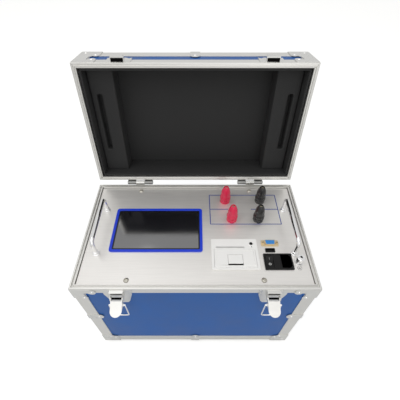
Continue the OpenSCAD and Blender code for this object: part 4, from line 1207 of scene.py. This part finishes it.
@dataclass
class PowerInlet(Assembly):
    """The mains inlet with its rocker switch and its two marks."""

    pivot: Point = (126.2, -65.95, 262.5)
    tilt: float = 7
    slope: float = 12.3
    off_y: float = -4.2
    on_y: float = 5.6
    face_z: float = 4.32
    sunk: float = 0.05
    proud: float = 0.07
    ring_size: Pair = (4.4, 4.4)
    ring_corner: float = 2.19
    ring_line: float = 0.8
    bar_half: Pair = (0.35, 2.0)

    def on_face(self, along: float, side: int) -> Matrix:
        """Finds the place of a mark on the rocker.

        Args:
            along: how far behind the pivot it lies, in millimetres.
            side: -1 on the front half of the rocker, 1 on the back half.

        Returns:
            The movement that takes a mark from the origin to its place.
        """
        return (
            Matrix.Translation(mm(*self.pivot))
            @ Matrix.Rotation(math.radians(self.tilt), 4, "X")
            @ Matrix.Translation(mm(0, along, self.face_z))
            @ Matrix.Rotation(math.radians(side * self.slope), 4, "X")
        )

    def build(self) -> None:
        """Dresses the inlet and marks its rocker."""
        self.refine("inlet_housing", Surface.BLACK, Edge.MOULDED)
        self.refine("inlet_pins", Surface.PIN, Edge.CRISP)
        self.refine("power_rocker", Surface.BLACK, Edge.BEZEL)
        foot, thick = (0, 0, -self.sunk), self.sunk + self.proud
        off = Bench.outline(
            "rocker_off_mark", foot, self.ring_size, self.ring_corner, self.ring_line, thick
        )
        x, y = self.bar_half
        on = Bench.block("rocker_on_mark", (-x, -y, -self.sunk), (x, y, self.proud))
        Bench.place(off, self.on_face(self.off_y, -1))
        self.fit(off, Surface.MARK_WHITE, "power_rocker")
        Bench.place(on, self.on_face(self.on_y, 1))
        self.fit(on, Surface.MARK_GREY, "power_rocker")


@dataclass
class Ports(Assembly):
    """The serial and the USB connector."""

    def build(self) -> None:
        """Dresses the connectors."""
        self.refine("serial_connector_shell", Surface.SHELL, Edge.FINE)
        self.refine("serial_connector_insert", Surface.INSERT, Edge.CONTACT)
        self.refine("usb_port", Surface.BLACK, Edge.CRISP)


@dataclass
class Terminals(Assembly):
    """The four screw terminals and the ground terminal."""

    def build(self) -> None:
        """Dresses the bases, studs and caps."""
        for color, surface in (("red", Surface.RED), ("black", Surface.JET)):
            self.refine(f"terminal_bases_{color}", surface, Edge.MOULDED)
            for number in (1, 2):
                self.refine(f"terminal_cap_{color}_{number}", surface, Edge.MOULDED)
        self.refine("terminal_studs", Surface.PIN, Edge.FINE)
        self.refine("ground_terminal_base", Surface.CHROME, Edge.PLAIN)
        self.refine("ground_cap", Surface.CHROME, Edge.CRISP)


@dataclass
class Hardware(Assembly):
    """Handles, latches, catches and hinges.

    The window, the recess and the pocket hold black blocks as painted shade: half of their width,
    then their limits along Y, where they have any, and then their limits along Z, with the lid closed.
    """

    latch_x: float = 125.5
    face: float = -116.2
    sunk: float = 0.05
    recess_proud: float = 0.15
    window: tuple[float, float, float, float] = (8.9, -120.6, 258.6, 262.2)
    recess: Point = (8.4, 246.5, 256.9)
    pocket: tuple[float, float, float, float, float] = (10.05, -122.15, -116.25, 272.0, 277.4)
    pivot: Pair = (-124.0, 251.0)
    pivot_shade_r: float = 1.75
    pivot_shade_half: float = 8.1
    pivot_shade_sides: int = 32

    def paint_latch_shade(self) -> None:
        """Paints the shade in each latch: black blocks in its bridge's window and the recess under it,
        and a sleeve.
        """
        half, front, low, high = self.window
        wide, foot, head = self.recess
        back, recess_front = self.face + self.sunk, self.face - self.recess_proud
        for side, name in SIDES:
            x = side * self.latch_x
            window = Bench.block("window", (x - half, front, low), (x + half, back, high))
            recess = Bench.block("recess", (x - wide, recess_front, foot), (x + wide, back, head))
            shade_piece = Bench.join(f"latch_painted_shade_{name}", (window, recess, self.pivot_shade(x)))
            self.fit(shade_piece, Surface.SHADE, "case")

    def paint_catch_shade(self) -> None:
        """Paints the shade in the pocket of each catch, open toward the lid's rim, with a black block.
        """
        half, front, back, low, high = self.pocket
        for side, name in SIDES:
            x = side * self.latch_x
            corners = (x - half, front, low), (x + half, back, high)
            pocket = Bench.block(f"catch_painted_shade_{name}", *corners)
            self.fit(Bench.place(pocket, LidFoam().turn()), Surface.SHADE, "lid")

    def pivot_shade(self, x: float) -> Object:
        """Models a black sleeve on a lever's pivot, between its cheeks, as painted shade of the gap
        there.

        Args:
            x: the middle of the latch, in millimetres.

        Returns:
            The sleeve.
        """
        Bench.clear()
        bpy.ops.mesh.primitive_cylinder_add(
            vertices=self.pivot_shade_sides, radius=self.pivot_shade_r * MM, depth=2 * self.pivot_shade_half * MM,
            location=mm(x, *self.pivot), rotation=(0, math.radians(90), 0),
        )
        return Bench.settle(Bench.named("pivot_shade"))

    def build(self) -> None:
        """Dresses the hardware."""
        self.refine("panel_handles", Surface.CHROME, Edge.PLAIN)
        self.refine("latch_plates", Surface.PRESSING, Edge.PLAIN)
        # Black blocks and a black pivot sleeve, as painted shade in the latches.
        self.paint_latch_shade()
        self.refine("catch_plates", Surface.PRESSING, Edge.PLAIN)
        # Black blocks, as painted shade in the pockets of the catches.
        self.paint_catch_shade()
        self.refine("side_handle_plates", Surface.PRESSING, Edge.MOULDED)
        self.refine("hinge_base_leaves", Surface.PRESSING, Edge.CRISP)
        # The lid's hinge leaves are darkened as painted shade of the gap under the lid.
        self.refine("hinge_lid_leaves", Surface.HINGE, Edge.CRISP)
        self.refine("hinge_pins", Surface.RIVET, Edge.FINE)
        for _, side in SIDES:
            self.refine(f"latch_lever_{side}", Surface.LEVER, Edge.PLAIN)
            self.refine(f"latch_pin_{side}", Surface.CHROME, Edge.FINE)
            self.refine(f"latch_bail_{side}", Surface.CHROME, Edge.AS_MADE)
            self.refine(f"side_grip_{side}", Surface.GRIP, Edge.AS_MADE)


@dataclass
class Interior(Assembly):
    """What the closed base holds."""

    def build(self) -> None:
        """Dresses the inner parts."""
        self.keep("chassis_tray", Surface.SHEET)
        self.keep("power_transformer", Surface.IRON)
        self.keep("heat_sink", Surface.SINK)
        self.keep("main_board", Surface.BOARD)


# Studio


@dataclass
class Studio:
    """A pale floor, soft light and the photograph's view.

    Lengths are in metres, apart from the lens and its sensor, which are in millimetres. The glow
    lifts the floor to white for the camera alone. The ambient light is what falls on the tester,
    and the mirrored one is what the camera and the reflections see. A lamp is given by its place,
    its aim, its edge and its power in watts.
    """

    eye: Point = (0.0, -0.316, 0.7039)
    pitch: float = 48.01
    lens: float = 26.17
    sensor: float = 36
    shift: Pair = (0.012, -0.004)
    clip: Pair = (0.01, 100)
    floor_size: float = 60.0
    floor_color: Color = (0.86, 0.86, 0.85)
    floor_rough: float = 0.9
    floor_gloss: float = 0.1
    glow_color: Color = (1, 1, 0.985)
    glow: float = 0.45
    ambient: float = 0.56
    mirrored: float = 0.78
    key: tuple[Point, Point, float, float] = ((-0.5, -0.5, 2.3), (0, 0, 0.2), 3.0, 22.0)
    fill: tuple[Point, Point, float, float] = ((0.6, -2.2, 1.0), (0, 0, 0.25), 1.6, 7.0)

    def camera(self) -> None:
        """Sets the camera where the photograph was taken from."""
        data = bpy.data.cameras.new("photo_view")
        data.lens = self.lens
        data.sensor_width = self.sensor
        data.shift_x, data.shift_y = self.shift
        data.clip_start, data.clip_end = self.clip
        eye = bpy.data.objects.new("photo_view", data)
        eye.location = self.eye
        eye.rotation_euler = (math.radians(90 - self.pitch), 0, 0)
        bpy.context.scene.collection.objects.link(eye)
        bpy.context.scene.camera = eye

    def floor(self) -> None:
        """Lays a plain pale floor that looks white to the camera and keeps the shadow."""
        Bench.clear()
        bpy.ops.mesh.primitive_plane_add(size=self.floor_size, location=(0, 0, 0))
        piece = Bench.named("studio_floor")
        material = bpy.data.materials.new("studio_floor")
        material.use_nodes = True
        tree = material.node_tree
        shader = tree.nodes["Principled BSDF"]
        shader.inputs["Base Color"].default_value = (*self.floor_color, 1)
        shader.inputs["Roughness"].default_value = self.floor_rough
        shader.inputs["Specular IOR Level"].default_value = self.floor_gloss
        path = tree.nodes.new("ShaderNodeLightPath")
        glow = tree.nodes.new("ShaderNodeEmission")
        glow.inputs["Color"].default_value = (*self.glow_color, 1)
        lift = tree.nodes.new("ShaderNodeMath")
        lift.operation = "MULTIPLY"
        lift.inputs[1].default_value = self.glow
        tree.links.new(path.outputs["Is Camera Ray"], lift.inputs[0])
        tree.links.new(lift.outputs[0], glow.inputs["Strength"])
        both = tree.nodes.new("ShaderNodeAddShader")
        tree.links.new(shader.outputs[0], both.inputs[0])
        tree.links.new(glow.outputs[0], both.inputs[1])
        tree.links.new(both.outputs[0], tree.nodes["Material Output"].inputs["Surface"])
        piece.data.materials.append(material)

    def world(self) -> None:
        """Sets a white surround that is brighter to the camera and in reflections than as a light."""
        scene = bpy.context.scene
        scene.world = scene.world or bpy.data.worlds.new("studio")
        scene.world.use_nodes = True
        tree = scene.world.node_tree
        tree.nodes.clear()
        path = tree.nodes.new("ShaderNodeLightPath")
        seen = path.outputs["Is Camera Ray"]
        for ray in ("Is Glossy Ray", "Is Transmission Ray"):
            either = tree.nodes.new("ShaderNodeMath")
            either.operation = "MAXIMUM"
            tree.links.new(seen, either.inputs[0])
            tree.links.new(path.outputs[ray], either.inputs[1])
            seen = either.outputs[0]
        strength = tree.nodes.new("ShaderNodeMapRange")
        strength.inputs["To Min"].default_value = self.ambient
        strength.inputs["To Max"].default_value = self.mirrored
        tree.links.new(seen, strength.inputs["Value"])
        back = tree.nodes.new("ShaderNodeBackground")
        back.inputs["Color"].default_value = (1, 1, 1, 1)
        tree.links.new(strength.outputs[0], back.inputs["Strength"])
        output = tree.nodes.new("ShaderNodeOutputWorld")
        tree.links.new(back.outputs[0], output.inputs["Surface"])

    def lamp(self, name: str, place: Point, aim: Point, size: float, power: float) -> None:
        """Adds a square soft lamp that faces a point.

        Args:
            name: the lamp's name.
            place: where it hangs, in metres.
            aim: the point that it faces, in metres.
            size: its edge, in metres.
            power: its power, in watts.
        """
        data = bpy.data.lights.new(name, "AREA")
        data.size = size
        data.energy = power
        lamp = bpy.data.objects.new(name, data)
        lamp.location = place
        lamp.rotation_euler = (Vector(aim) - Vector(place)).to_track_quat("-Z", "Y").to_euler()
        bpy.context.scene.collection.objects.link(lamp)

    def build(self) -> None:
        """Sets up camera, floor, world and lamps."""
        bpy.context.scene.view_settings.view_transform = "Standard"
        self.camera()
        self.floor()
        self.world()
        self.lamp("key", *self.key)
        self.lamp("fill", *self.fill)


def main() -> None:
    """Builds the tester's looks round the frame, then the studio."""
    logging.basicConfig(level=logging.INFO, format="%(name)s: %(message)s")
    kinds = (
        Shell, LidFoam, ControlPanel, Display, Printer, PowerInlet, Ports, Terminals, Hardware, Interior
    )
    for part in (kind() for kind in kinds):
        part.build()
        for piece in part.made:
            LOG.info("%s: %s, %d faces", type(part).__name__, piece.name, len(piece.data.polygons))
    Studio().build()


if __name__ == "__main__":
    main()
